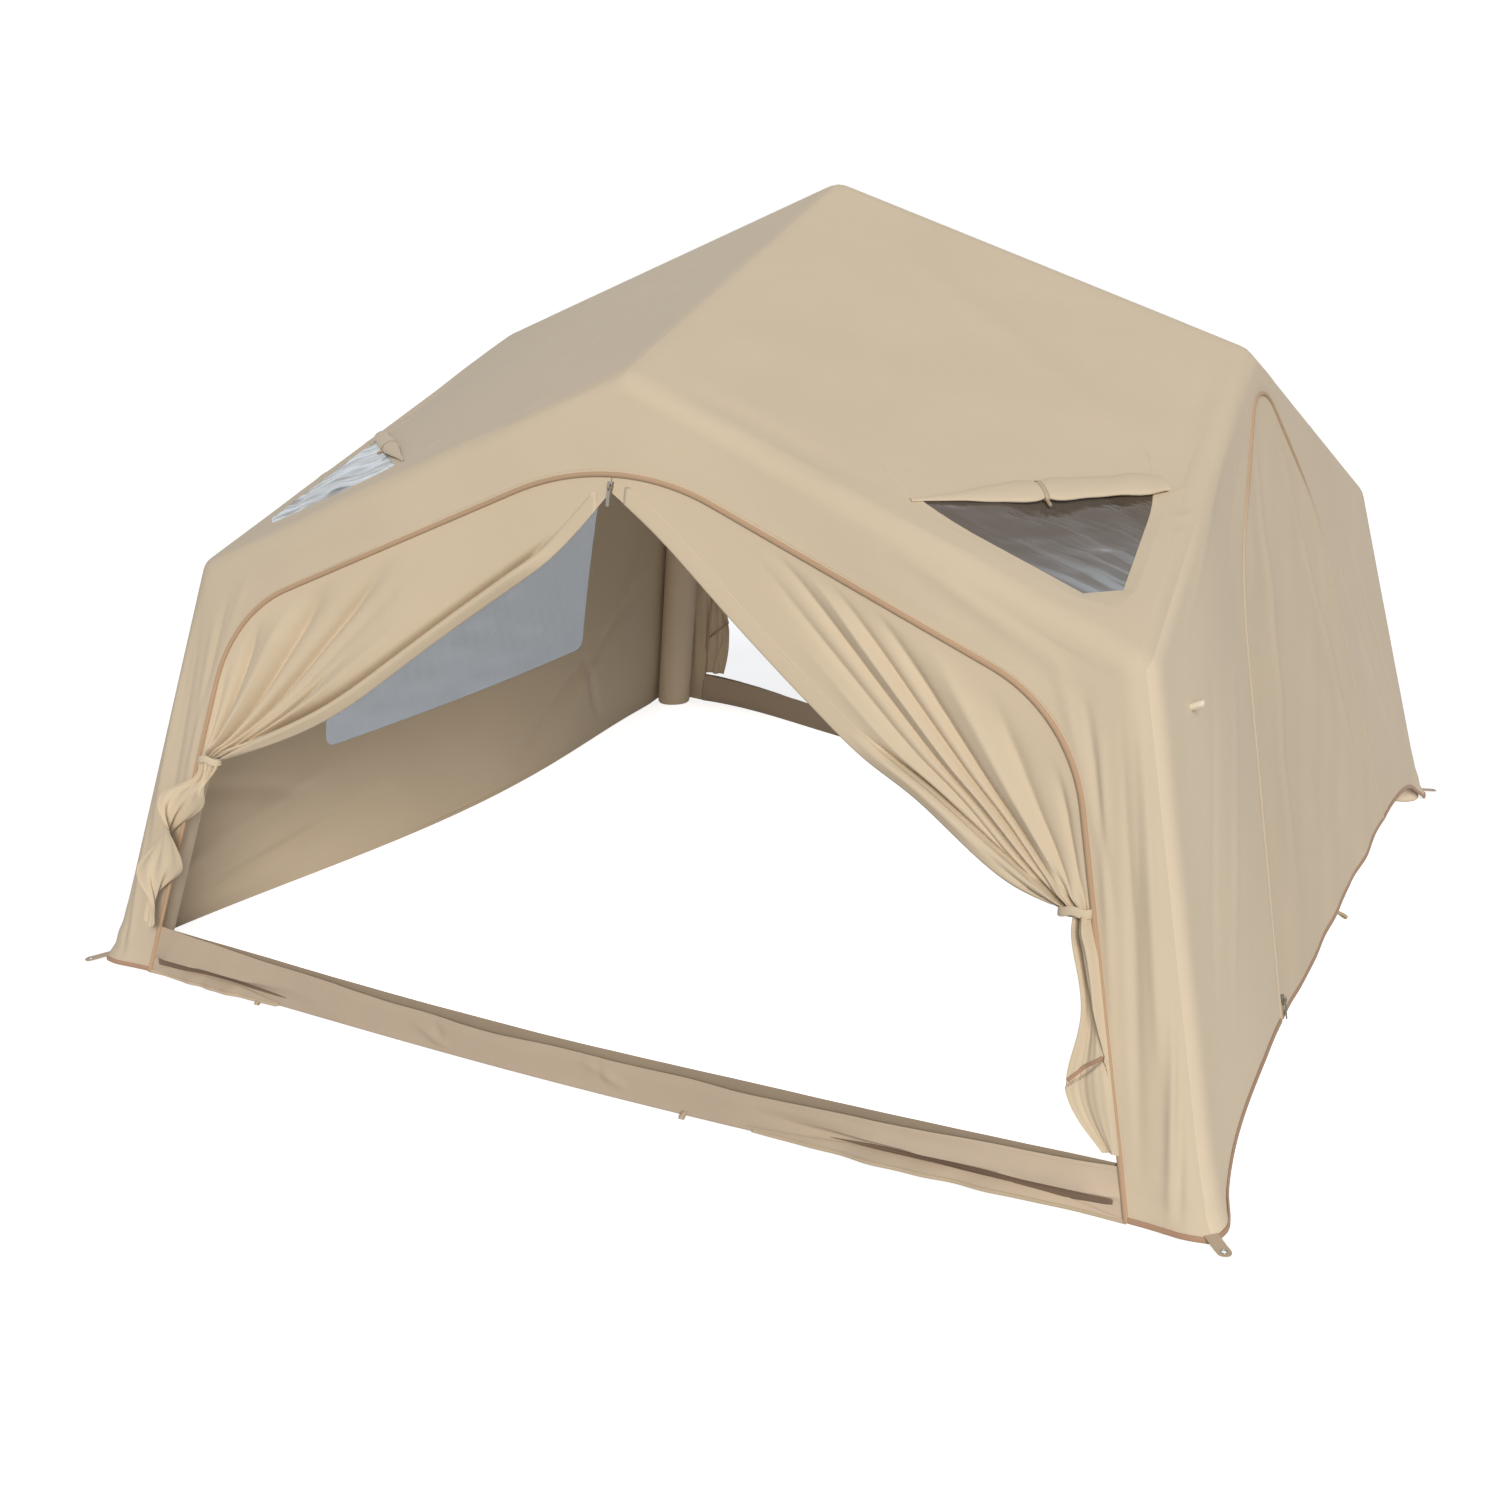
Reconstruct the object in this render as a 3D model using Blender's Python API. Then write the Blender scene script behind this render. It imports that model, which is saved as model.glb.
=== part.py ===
"""Lounge tent on an inflated air-beam frame. Metres, +Z up, origin on the floor under the apex.

The skin lies in eight planes: four leaning walls and four kite-shaped roof panels.
The air beams run inside the edges where those planes meet, so their centre lines are
the edges of the same solid drawn in by one cloth, one clearance and one beam radius.
Front is -Y and right is +X. The front and back doors stand open with their curtains
tied back, the right door is closed, and the left wall has a window.
"""

import math

import bmesh
import bpy
import numpy as np
from mathutils import Matrix, Vector

# Footprint and height, to the outside of the cloth, and where the shoulders come between them
BASE_HALF = 1.5
APEX_HEIGHT = 2.0
SHOULDER_HALF_SHARE = 0.838
SHOULDER_HEIGHT_SHARE = 0.53
SHOULDER_HALF = BASE_HALF * SHOULDER_HALF_SHARE
SHOULDER_HEIGHT = APEX_HEIGHT * SHOULDER_HEIGHT_SHARE

# Cloth, film and the clearance that neighbours keep
CLOTH = 0.003
FILM = 0.0015
GAP = 0.0003
HEM_LIFT = 0.004
OVERRUN = 0.2

# Air beams
BEAM_RADIUS = 0.065
BEAM_WALL = 0.003
FOOT_ROUNDING = 0.018
FOOT_PLUG = 0.03
BEAM_SIDES = 24
BORE_SIDES = 12
FOOT_STEPS = 3

# Front and back doorways: the arch keeps these distances from the wall's own edges
JAMB_MARGIN = 0.166
GABLE_MARGIN = 0.152
ARCH_SHOULDER_RADIUS = 0.367
ARCH_TOP_RADIUS = 0.68
ARC_STEPS = 7
SPLIT_DROP = 0.038

# Right door
DOOR_BASE_HALF = 0.80
DOOR_SHOULDER_HALF = 0.475
DOOR_TOP_DROP = 0.044
DOOR_SHOULDER_HEIGHT_SHARE = 0.719
DOOR_SHOULDER_RADIUS = 0.60
DOOR_TOP_RADIUS = 0.18
RIGHT_HEM_RISE = 0.14
HEM_SHARPNESS = 8
HEM_STEPS = 16

# Left wall
LEFT_BOW = 0.13
LEFT_WINDOW_HALF = 0.70
LEFT_WINDOW_LOW = 0.40
LEFT_WINDOW_HIGH = 0.98
LEFT_WINDOW_CORNER = 0.04
BOW_CUT = 0.24

# Roof windows, in plan distance from the eaves and from the apex
ROOF_WINDOW_MARGIN = 0.098
ROOF_WINDOW_TOP_SHARE = 0.7122
ROOF_WINDOW_TIP_HALF = 0.045

# Rolled window covers
COVER_HALF = 0.30
COVER_DEPTH = 0.042
COVER_THICKNESS = 0.02
COVER_SIDES = 10
COVER_STATIONS = 8
COVER_TAPER_SHARE = 0.45
COVER_TAPER_POWER = 4

# Piping round the arches
PIPING_WIDTH = 0.016
PIPING_HEIGHT = 0.005
PIPING_FACETS = 4
LEAST_MITRE_COSINE = 0.5

# Curtains, tied back
TIE_HEIGHT = 0.58
WAIST_WIDTH = 0.055
WAIST_DEPTH = 0.018
WAIST_STRAIGHT = 0.036
TIE_CLEARANCE = 0.016
RAY_LEVEL = 0.11
FREE_SAG = 0.085
FOLD_DEPTH = 0.034
TAIL_FOLD_DEPTH = 0.024
TAIL_BULGE = 0.035
TAIL_END_WIDTH = 0.05
TAIL_CLEARANCE = 0.014
CURTAIN_COLUMNS = 35
CURTAIN_RAY_ROWS = 8
CURTAIN_TAIL_ROWS = 6
MAIN_PLEATS = 5
SIDE_PLEATS = 8
MAIN_PLEAT_SHARE = 0.7
MAIN_PLEAT_PHASE = 1.0
SIDE_PLEAT_PHASE = 2.0
FLAT_BAND = 0.012
FLAT_RUN = 0.03
FLAT_RUN_SHARE = 0.5
FOLD_RAMP = 0.02
FLAT_EDGE_SHARE = 0.12
OPENING_SHARE = 0.4

# Straps that hold the curtains
STRAP = 0.002
STRAP_WIDTH = 0.025
STRAP_EASE_ACROSS = 0.001
STRAP_EASE_DEEP = 0.0005
STRAP_LANDING = 0.045
STRAP_STEPS = 24

# Sills: a folded strip between the jambs, with a sagging outer layer
SILL_HEIGHT = 0.128
SILL_SAG = 0.045
SILL_END_SPACE = 0.003
SILL_SPACE = 0.022
FRONT_SILL_BOW = -0.035
BACK_SILL_BOW = 0.33
SILL_STATIONS = 20

# Webbing tabs for the pegs, one at each foot
TAB_LENGTH = 0.086
TAB_WIDTH = 0.03
TAB_EYE_RADIUS = 0.007
TAB_LEVEL = 0.02
TAB_STEPS = 8

# Zip sliders and their pulls
SLIDER_LENGTH = 0.024
SLIDER_WIDTH = 0.014
SLIDER_NOSE_WIDTH = 0.009
SLIDER_HEIGHT = 0.006
SLIDER_EDGE = 0.0012
BAIL_WIDTH = 0.004
BAIL_HALF_LENGTH = 0.008
BAIL_HEIGHT = 0.0065
BAIL_STOCK = 0.002
BAIL_ROOT = 0.001
BAIL_STEPS = 8
BAIL_SQUARENESS = 0.6
PULL_WIDTH = 0.009
PULL_LENGTH = 0.045
PULL_STOCK = 0.0016
PULL_BAR = 0.002
PULL_EASE = 0.0007
PULL_LEVEL = 0.0025
PULL_END_STEPS = 6
ZIP_LINE = 0.0165
ZIP_REST_CLEARANCE = 0.03

# Inflation valve on the back right leg, facing into the tent
VALVE_HEIGHT = 0.42
VALVE_FLANGE_RADIUS = 0.028
VALVE_FLANGE = 0.006
VALVE_ROOT = 0.012
VALVE_NECK_RADIUS = 0.016
VALVE_NECK = 0.018
VALVE_BORE_RADIUS = 0.011
VALVE_BORE_DEPTH = 0.009
VALVE_STEM_RADIUS = 0.003
VALVE_STEM_DROP = 0.002
CAP_WALL = 0.003
CAP_EASE = 0.0005
CAP_RIB = 0.0008
VALVE_SIDES = 32

# Shading and bevels: faces that turn less than the flat angle count as one, edges past the sharp angle stay
# sharp, and a slider's top edge turns by more than the last
FLAT_ANGLE = math.radians(0.1)
MERGE = 0.00005
SHARP_ANGLE = math.radians(35)
TOP_EDGE_ANGLE = math.radians(60)
ROUND_PROFILE = 0.5

# Angles of the sides about the vertical: front, right, back, left
QUARTER = math.pi / 2
SIDES = {"front": 0.0, "right": QUARTER, "back": 2 * QUARTER, "left": 3 * QUARTER}
CORNERS = {"front_left": (-1, -1), "front_right": (1, -1), "back_right": (1, 1), "back_left": (-1, 1)}

# Slopes of the planes, from the driving dimensions
WALL_LEAN = (BASE_HALF - SHOULDER_HALF) / SHOULDER_HEIGHT
ROOF_PITCH = (APEX_HEIGHT - SHOULDER_HEIGHT) / (2 * SHOULDER_HALF)
WALL_STRETCH = math.hypot(1, WALL_LEAN)
ROOF_STRETCH = math.hypot(1, ROOF_PITCH, ROOF_PITCH)
BEAM_INSET = CLOTH + GAP + BEAM_RADIUS

# Colours, roughness and metallic value of each material
FINISHES = {
    "canvas": ((0.60, 0.50, 0.35, 1), 0.85, 0.0),
    "curtain_canvas": ((0.62, 0.52, 0.37, 1), 0.85, 0.0),
    "beam_sleeve": ((0.57, 0.47, 0.33, 1), 0.80, 0.0),
    "piping": ((0.46, 0.30, 0.16, 1), 0.80, 0.0),
    "webbing": ((0.40, 0.30, 0.20, 1), 0.80, 0.0),
    "clear_film": ((0.25, 0.25, 0.27, 1), 0.10, 0.0),
    "zip_metal": ((0.35, 0.33, 0.30, 1), 0.40, 1.0),
    "valve_plastic": ((0.06, 0.06, 0.06, 1), 0.45, 0.0),
}


def clear_scene():
    for item in list(bpy.data.objects):
        bpy.data.objects.remove(item, do_unlink=True)


def finish(name):
    """Principled material of that name, made once."""
    if name in bpy.data.materials:
        return bpy.data.materials[name]
    colour, roughness, metallic = FINISHES[name]
    made = bpy.data.materials.new(name)
    made.use_nodes = True
    shader = made.node_tree.nodes["Principled BSDF"]
    shader.inputs["Base Color"].default_value = colour
    shader.inputs["Roughness"].default_value = roughness
    shader.inputs["Metallic"].default_value = metallic
    made.diffuse_color = colour
    return made


def add_piece(name, form, material, origin=None):
    """Object made from a bmesh in world places, with its origin at a given point."""
    bmesh.ops.recalc_face_normals(form, faces=form.faces)
    if origin is not None:
        bmesh.ops.translate(form, verts=form.verts, vec=-origin)
    mesh = bpy.data.meshes.new(name)
    form.to_mesh(mesh)
    form.free()
    mesh.materials.append(finish(material))
    mesh.shade_smooth()
    mesh.set_sharp_from_angle(angle=SHARP_ANGLE)
    piece = bpy.data.objects.new(name, mesh)
    bpy.context.collection.objects.link(piece)
    if origin is not None:
        piece.location = origin
    return piece


def combine(piece, tool, operation):
    """Boolean of two objects, kept as plain mesh on the first; the second is used up."""
    step = piece.modifiers.new("combine", "BOOLEAN")
    step.operation = operation
    step.solver = "EXACT"
    step.object = tool
    shaped = bpy.data.meshes.new_from_object(piece.evaluated_get(bpy.context.evaluated_depsgraph_get()))
    piece.modifiers.clear()
    piece.data = shaped
    bpy.data.objects.remove(tool, do_unlink=True)
    return piece


# The eight planes, and the frames in which their sheets are drawn

def solid_corners(inset):
    """Foot, shoulder, peak and apex of the eight-plane solid drawn in by a distance, as (half, height)."""
    base = BASE_HALF - inset * WALL_STRETCH
    top = APEX_HEIGHT - inset * ROOF_STRETCH
    shoulder = (top - 2 * ROOF_PITCH * base) / (1 - 2 * ROOF_PITCH * WALL_LEAN)
    peak = (top - ROOF_PITCH * base) / (1 - ROOF_PITCH * WALL_LEAN)
    return {
        "foot": (base, 0.0),
        "shoulder": (base - WALL_LEAN * shoulder, shoulder),
        "peak": (base - WALL_LEAN * peak, peak),
        "apex": (0.0, top),
    }


def wall_frame(side):
    """Matrix from a wall's own (across, up the slope, outward) to world places."""
    lean = math.atan(WALL_LEAN)
    tilt = Matrix.Rotation(QUARTER - lean, 4, "X")
    return Matrix.Rotation(SIDES[side], 4, "Z") @ Matrix.Translation((0, -BASE_HALF, 0)) @ tilt


def roof_frame(corner):
    """Matrix from a roof panel's own (across, up the slope, outward) to world, from the apex."""
    turn = math.atan2(CORNERS[corner][1], CORNERS[corner][0]) + QUARTER
    tilt = Matrix.Rotation(math.atan(ROOF_PITCH * math.sqrt(2)), 4, "X")
    return Matrix.Translation((0, 0, APEX_HEIGHT)) @ Matrix.Rotation(turn, 4, "Z") @ tilt


def flat(frame, point):
    """A world point in the plane of a frame."""
    local = frame.inverted() @ Vector(point)
    return Vector((local.x, local.y))


def inward(side):
    """Level direction from a wall into the tent."""
    return Matrix.Rotation(SIDES[side], 3, "Z") @ Vector((0, 1, 0))


def slant(height):
    """Distance up a wall's slope at a height above the floor."""
    return height * WALL_STRETCH


def meet(start, end, low, high):
    """Point where the line through two points crosses the line through two others."""
    run = end - start
    other = high - low
    turn = run.x * other.y - run.y * other.x
    between = low - start
    share = (between.x * other.y - between.y * other.x) / turn
    return start + run * share


def drawn_in(start, end, distance, inside):
    """The line through two points, moved towards a point by a distance."""
    run = (end - start).normalized()
    side = Vector((-run.y, run.x))
    if side.dot(inside - start) < 0:
        side = -side
    return start + side * distance, end + side * distance


def at_level(start, end, level):
    """Point of a line at a distance up the slope."""
    share = (level - start.y) / (end.y - start.y)
    return start + (end - start) * share


def mirrored(points):
    """The same points on the other side of the centre line."""
    return [Vector((-point.x, point.y)) for point in points]


def rounded(corners, radii):
    """Open outline through corners, with an arc of the given radius at each inner one."""
    points = [corners[0]]
    for before, corner, after, radius in zip(corners, corners[1:], corners[2:], radii):
        back = (before - corner).normalized()
        ahead = (after - corner).normalized()
        half = back.angle(ahead) / 2
        reach = radius / math.tan(half)
        centre = corner + (back + ahead).normalized() * (radius / math.sin(half))
        start = corner + back * reach - centre
        end = corner + ahead * reach - centre
        sweep = start.angle(end)
        for share in np.linspace(0, 1, ARC_STEPS + 1):
            first = math.sin((1 - share) * sweep) / math.sin(sweep)
            second = math.sin(share * sweep) / math.sin(sweep)
            points.append(centre + start * first + end * second)
    points.append(corners[-1])
    return points


def along(points, shares):
    """Places at shares of the length of a line of points."""
    line = np.array([tuple(point) for point in points])
    runs = np.hypot(*np.diff(line, axis=0).T)
    marks = np.concatenate([[0], np.cumsum(runs)])
    wanted = np.array(shares) * marks[-1]
    return np.stack([np.interp(wanted, marks, line[:, axis]) for axis in range(2)], axis=1)


# Closed forms

def slab(loops, low, high, cuts_across=(), cuts_up=()):
    """Closed slab over an outline with any holes, cut along lines so that it can bend."""
    plan = bmesh.new()
    edges = []
    for loop in loops:
        ring = [plan.verts.new((x, y, 0)) for x, y in loop]
        edges += [plan.edges.new((ring[i - 1], ring[i])) for i in range(len(ring))]
    bmesh.ops.triangle_fill(plan, edges=edges, use_beauty=True)
    for place in cuts_across:
        split(plan, Vector((place, 0, 0)), Vector((1, 0, 0)))
    for place in cuts_up:
        split(plan, Vector((0, place, 0)), Vector((0, 1, 0)))
    bmesh.ops.triangulate(plan, faces=plan.faces)
    plan.verts.index_update()
    form = bmesh.new()
    lower = [form.verts.new((v.co.x, v.co.y, low)) for v in plan.verts]
    upper = [form.verts.new((v.co.x, v.co.y, high)) for v in plan.verts]
    for face in plan.faces:
        corners = [v.index for v in face.verts]
        form.faces.new([upper[i] for i in corners])
        form.faces.new([lower[i] for i in reversed(corners)])
    for edge in plan.edges:
        if len(edge.link_faces) == 1:
            a, b = (v.index for v in edge.verts)
            form.faces.new([lower[a], lower[b], upper[b], upper[a]])
    plan.free()
    return form


def split(form, point, direction):
    """Cut every face along a plane, and keep both sides."""
    everything = form.verts[:] + form.edges[:] + form.faces[:]
    bmesh.ops.bisect_plane(form, geom=everything, plane_co=point, plane_no=direction)


def trim(form, point, direction):
    """Cut off what lies beyond a plane and close the cut."""
    everything = form.verts[:] + form.edges[:] + form.faces[:]
    bmesh.ops.bisect_plane(form, geom=everything, plane_co=point, plane_no=direction, clear_outer=True)
    rim = [edge for edge in form.edges if edge.is_boundary]
    bmesh.ops.holes_fill(form, edges=rim, sides=0)


def rod(start, end, radius, sides, facing, overrun_low, overrun_high):
    """Closed round bar from one point to another, with one corner turned to face a direction."""
    axis = (end - start).normalized()
    x = (facing - axis * facing.dot(axis)).normalized()
    y = axis.cross(x)
    form = bmesh.new()
    rings = []
    for centre in (start - axis * overrun_low, end + axis * overrun_high):
        ring = []
        for i in range(sides):
            angle = 2 * math.pi * i / sides
            ring.append(form.verts.new(centre + (x * math.cos(angle) + y * math.sin(angle)) * radius))
        rings.append(ring)
    for i in range(sides):
        form.faces.new([rings[0][i - 1], rings[0][i], rings[1][i], rings[1][i - 1]])
    form.faces.new(rings[1])
    form.faces.new(list(reversed(rings[0])))
    return form


def lathe(profile, sides, ribs=()):
    """Closed turned form about its own Z, from (radius, height) points that end on the axis.

    The rings whose numbers are in ribs are drawn in at every other point, for grip.
    """
    form = bmesh.new()
    rings = []
    for number, (radius, height) in enumerate(profile):
        if radius == 0:
            rings.append([form.verts.new((0, 0, height))])
            continue
        ring = []
        for i in range(sides):
            rib = CAP_RIB if number in ribs and i % 2 else 0
            angle = 2 * math.pi * i / sides
            reach = radius - rib
            ring.append(form.verts.new((reach * math.cos(angle), reach * math.sin(angle), height)))
        rings.append(ring)
    for lower, upper in zip(rings, rings[1:]):
        for i in range(sides):
            corners = [lower[i - 1], lower[i]] if len(lower) > 1 else [lower[0]]
            corners += [upper[i], upper[i - 1]] if len(upper) > 1 else [upper[0]]
            form.faces.new(corners)
    return form


def grid_sheet(front, back):
    """Closed sheet between two grids of places, both cut into triangles along the same diagonals."""
    form = bmesh.new()
    rows, columns = len(front), len(front[0])
    outer = [[form.verts.new(place) for place in row] for row in front]
    inner = [[form.verts.new(place) for place in row] for row in back]
    for r in range(rows - 1):
        for c in range(columns - 1):
            for (i, j), (k, m) in (((r, c + 1), (r + 1, c + 1)), ((r + 1, c + 1), (r + 1, c))):
                form.faces.new([outer[r][c], outer[i][j], outer[k][m]])
                form.faces.new([inner[k][m], inner[i][j], inner[r][c]])
    rim = [(0, c) for c in range(columns)] + [(r, columns - 1) for r in range(1, rows)]
    rim += [(rows - 1, c) for c in reversed(range(columns - 1))]
    rim += [(r, 0) for r in reversed(range(1, rows - 1))]
    for (r, c), (s, d) in zip(rim, rim[1:] + rim[:1]):
        form.faces.new([outer[r][c], inner[r][c], inner[s][d], outer[s][d]])
    return form


def loft(rings):
    """Closed skin through rings with the same number of points, with flat ends."""
    form = bmesh.new()
    made = [[form.verts.new(place) for place in ring] for ring in rings]
    count = len(made[0])
    for low, high in zip(made, made[1:]):
        for i in range(count):
            form.faces.new([low[i - 1], low[i], high[i], high[i - 1]])
    form.faces.new(list(reversed(made[0])))
    form.faces.new(made[-1])
    return form


def place(form, frame):
    """Move a form from a frame's own places to world places."""
    bmesh.ops.transform(form, matrix=frame, verts=form.verts)
    return form


# Air beams

def frame_points():
    """Centre points where beams meet, by name."""
    corner = solid_corners(BEAM_INSET)
    points = {"apex": Vector((0, 0, corner["apex"][1]))}
    for name, (sx, sy) in CORNERS.items():
        for level in ("foot", "shoulder"):
            half, height = corner[level]
            points[f"{level}_{name}"] = Vector((sx * half, sy * half, height))
    half, height = corner["peak"]
    for side in SIDES:
        points[f"peak_{side}"] = Vector(tuple(-inward(side) * half)) + Vector((0, 0, height))
    return points


def beam_runs():
    """Each beam's name with the two points that it runs between, lower one first."""
    runs = {}
    for name in CORNERS:
        depth, hand = name.split("_")
        runs[f"leg_beam_{name}"] = (f"foot_{name}", f"shoulder_{name}")
        runs[f"eave_beam_{depth}_side_{hand}"] = (f"shoulder_{name}", f"peak_{depth}")
        runs[f"eave_beam_{hand}_side_{depth}"] = (f"shoulder_{name}", f"peak_{hand}")
    for side in SIDES:
        runs[f"ridge_beam_{side}"] = (f"peak_{side}", "apex")
    return runs


def cut_at_joint(form, points, runs, name, joint):
    """Mitre a beam against every other beam at one of its ends."""
    ends = runs[name]
    other_end = ends[0] if joint == ends[1] else ends[1]
    own = (points[other_end] - points[joint]).normalized()
    for neighbour, pair in runs.items():
        if neighbour == name or joint not in pair:
            continue
        far = pair[0] if joint == pair[1] else pair[1]
        theirs = (points[far] - points[joint]).normalized()
        direction = (theirs - own).normalized()
        trim(form, points[joint] - direction * (GAP / 2), direction)


def air_beam(points, runs, name):
    """One inflated tube, open inside, mitred to its neighbours; a leg ends in a plugged round foot."""
    low, high = (points[end] for end in runs[name])
    middle = (low + high) / 2
    facing = Vector((middle.x, middle.y, 0)) if name.startswith("leg") else middle
    form = rod(low, high, BEAM_RADIUS, BEAM_SIDES, facing, OVERRUN, OVERRUN)
    half_facet = Matrix.Rotation(math.pi / BORE_SIDES, 3, high - low)
    bore = rod(low, high, BEAM_RADIUS - BEAM_WALL, BORE_SIDES, half_facet @ facing, OVERRUN, OVERRUN)
    for joint in runs[name]:
        if not joint.startswith("foot"):
            cut_at_joint(form, points, runs, name, joint)
            continue
        floor = Vector((0, 0, 0))
        down = Vector((0, 0, -1))
        trim(form, floor, down)
        sole = [edge for edge in form.edges if all(abs(v.co.z) < GAP for v in edge.verts)]
        bmesh.ops.bevel(form, geom=sole, offset=FOOT_ROUNDING, segments=FOOT_STEPS, profile=ROUND_PROFILE,
                        affect="EDGES")
        trim(bore, Vector((0, 0, FOOT_PLUG)), down)
    piece = combine(add_piece(name, form, "beam_sleeve"), add_piece("bore", bore, "beam_sleeve"), "DIFFERENCE")
    tidy = bmesh.new()
    tidy.from_mesh(piece.data)
    bmesh.ops.remove_doubles(tidy, verts=tidy.verts, dist=MERGE)
    bmesh.ops.dissolve_degenerate(tidy, edges=tidy.edges, dist=MERGE)
    bmesh.ops.dissolve_limit(tidy, angle_limit=FLAT_ANGLE, verts=tidy.verts, edges=tidy.edges)
    bmesh.ops.triangulate(tidy, faces=tidy.faces)
    tidy.to_mesh(piece.data)
    tidy.free()
    return piece


def build_beams():
    points = frame_points()
    runs = beam_runs()
    for name in runs:
        air_beam(points, runs, name)


# Outlines of walls and doors, in a wall's own (across, up the slope)

def wall_edge():
    """Right half of a wall's edge where it lies on its beams: hem, shoulder, peak."""
    points = frame_points()
    frame = wall_frame("front")
    foot = flat(frame, points["foot_front_right"])
    shoulder = flat(frame, points["shoulder_front_right"])
    peak = flat(frame, points["peak_front"])
    return [at_level(foot, shoulder, HEM_LIFT), shoulder, peak]


def arch_half(extra):
    """Right half of the doorway's arch from the hem to the top, drawn in by a further distance."""
    sharp = solid_corners(0.0)
    foot = Vector((sharp["foot"][0], 0))
    shoulder = Vector((sharp["shoulder"][0], slant(sharp["shoulder"][1])))
    peak = Vector((0, slant(sharp["peak"][1])))
    inside = Vector((0, shoulder.y / 2))
    jamb = drawn_in(foot, shoulder, JAMB_MARGIN + extra, inside)
    gable = drawn_in(shoulder, peak, GABLE_MARGIN + extra, inside)
    corner = meet(*jamb, *gable)
    top = Vector((0, meet(*gable, Vector((0, 0)), peak).y))
    hem = at_level(*jamb, HEM_LIFT)
    line = rounded([hem, corner, top, Vector((-corner.x, corner.y))],
                   [ARCH_SHOULDER_RADIUS - extra, ARCH_TOP_RADIUS - extra])
    half = [point for point in line if point.x > GAP]
    return half + [Vector((0, max(point.y for point in line)))]


def jamb_at(extra, level):
    """Half width of the doorway at a distance up the slope, on its straight lower run."""
    line = arch_half(extra)
    return at_level(line[0], line[1], level).x


def door_half(extra):
    """Right half of the right door's outline from below the hem to the top."""
    low = Vector((DOOR_BASE_HALF - extra, 0))
    apex_height = solid_corners(0.0)["peak"][1] - DOOR_TOP_DROP
    corner = Vector((DOOR_SHOULDER_HALF - extra, slant(apex_height * DOOR_SHOULDER_HEIGHT_SHARE)))
    top = Vector((0, slant(apex_height) - extra))
    line = rounded([low, corner, top, Vector((-corner.x, corner.y))],
                   [DOOR_SHOULDER_RADIUS - extra, DOOR_TOP_RADIUS - extra])
    half = [point for point in line if point.x > GAP]
    return half + [Vector((0, max(point.y for point in line)))]


def raised_hem(across):
    """Height of the right wall's hem, which is cut up in the middle."""
    reach = wall_edge()[0].x
    return HEM_LIFT + RIGHT_HEM_RISE * (1 - abs(across / reach) ** HEM_SHARPNESS)


def clip_to_hem(half):
    """Start an outline on the raised hem in place of the floor."""
    low, high = half[0], half[1]
    start = low.copy()
    for _ in range(HEM_STEPS):
        start = at_level(low, high, raised_hem(start.x))
    return [start] + half[1:]


def closed(half):
    """Whole outline from its right half, going over the top."""
    left = mirrored(reversed(half))
    return half + left[1:] if half[-1].x == 0 else half + left


# Walls

def door_wall(side):
    """Front or back wall: cloth round the arched doorway."""
    outline = closed(wall_edge())
    inner = closed(arch_half(0.0))
    form = slab([outline + list(reversed(inner))], -CLOTH, 0)
    return add_piece(f"{side}_wall", place(form, wall_frame(side)), "canvas")


def right_wall():
    """Right wall round the closed door, with a hem that is cut up in the middle."""
    edge = wall_edge()
    door = clip_to_hem(door_half(0.0))
    reaches = np.linspace(door[0].x, edge[0].x, HEM_STEPS // 2)[1:-1]
    hem = [Vector((reach, raised_hem(reach))) for reach in reaches]
    half = hem + edge
    outline = closed(half)
    form = slab([outline + list(reversed(closed(door)))], -CLOTH, 0)
    return add_piece("right_wall", place(form, wall_frame("right")), "canvas")


def right_door():
    """Closed door panel inside the right wall's arch."""
    half = clip_to_hem(door_half(GAP))
    reaches = np.linspace(-half[0].x, half[0].x, HEM_STEPS)[1:-1]
    hem = [Vector((reach, raised_hem(reach))) for reach in reaches]
    form = slab([closed(half) + hem], -CLOTH, 0)
    return add_piece("right_door_panel", place(form, wall_frame("right")), "curtain_canvas")


def left_bow(across, level):
    """How far the left wall is drawn in, level, at a place: none along the beams and at the shoulder."""
    edge = wall_edge()
    top = edge[1].y
    if level >= top:
        return 0.0
    reach = at_level(edge[0], edge[1], level).x
    middle = max(0.0, 1 - (across / reach) ** 2)
    return LEFT_BOW * middle ** 2 * (1 - level / top) ** 2


def bow_left(form):
    """Move a sheet drawn in the left wall's frame to its place, drawn in at the hem."""
    frame = wall_frame("left")
    way = inward("left")
    for vertex in form.verts:
        shift = left_bow(vertex.co.x, vertex.co.y)
        vertex.co = frame @ vertex.co + way * shift
    return form


def left_window_loop(extra):
    """Outline of the left window with rounded corners, drawn in by a further distance."""
    low = slant(LEFT_WINDOW_LOW) + extra
    high = slant(LEFT_WINDOW_HIGH) - extra
    half = LEFT_WINDOW_HALF - extra
    middle = Vector((0, low))
    line = rounded([middle, Vector((half, low)), Vector((half, high)), Vector((0, high))],
                   [LEFT_WINDOW_CORNER - extra] * 2)
    return line[:-1] + mirrored(reversed(line[1:]))


def bend_cuts():
    """Lines across and up along which the left wall and its film can bend alike."""
    edge = wall_edge()
    reach = int(edge[0].x / BOW_CUT)
    across = [BOW_CUT * i for i in range(-reach, reach + 1)]
    up = [BOW_CUT * i for i in range(1, int(edge[1].y / BOW_CUT) + 1)]
    return across, up


def left_wall():
    """Left wall round its window, drawn in at the hem."""
    form = slab([closed(wall_edge()), left_window_loop(0.0)], -CLOTH, 0, *bend_cuts())
    return add_piece("left_wall", bow_left(form), "canvas")


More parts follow.
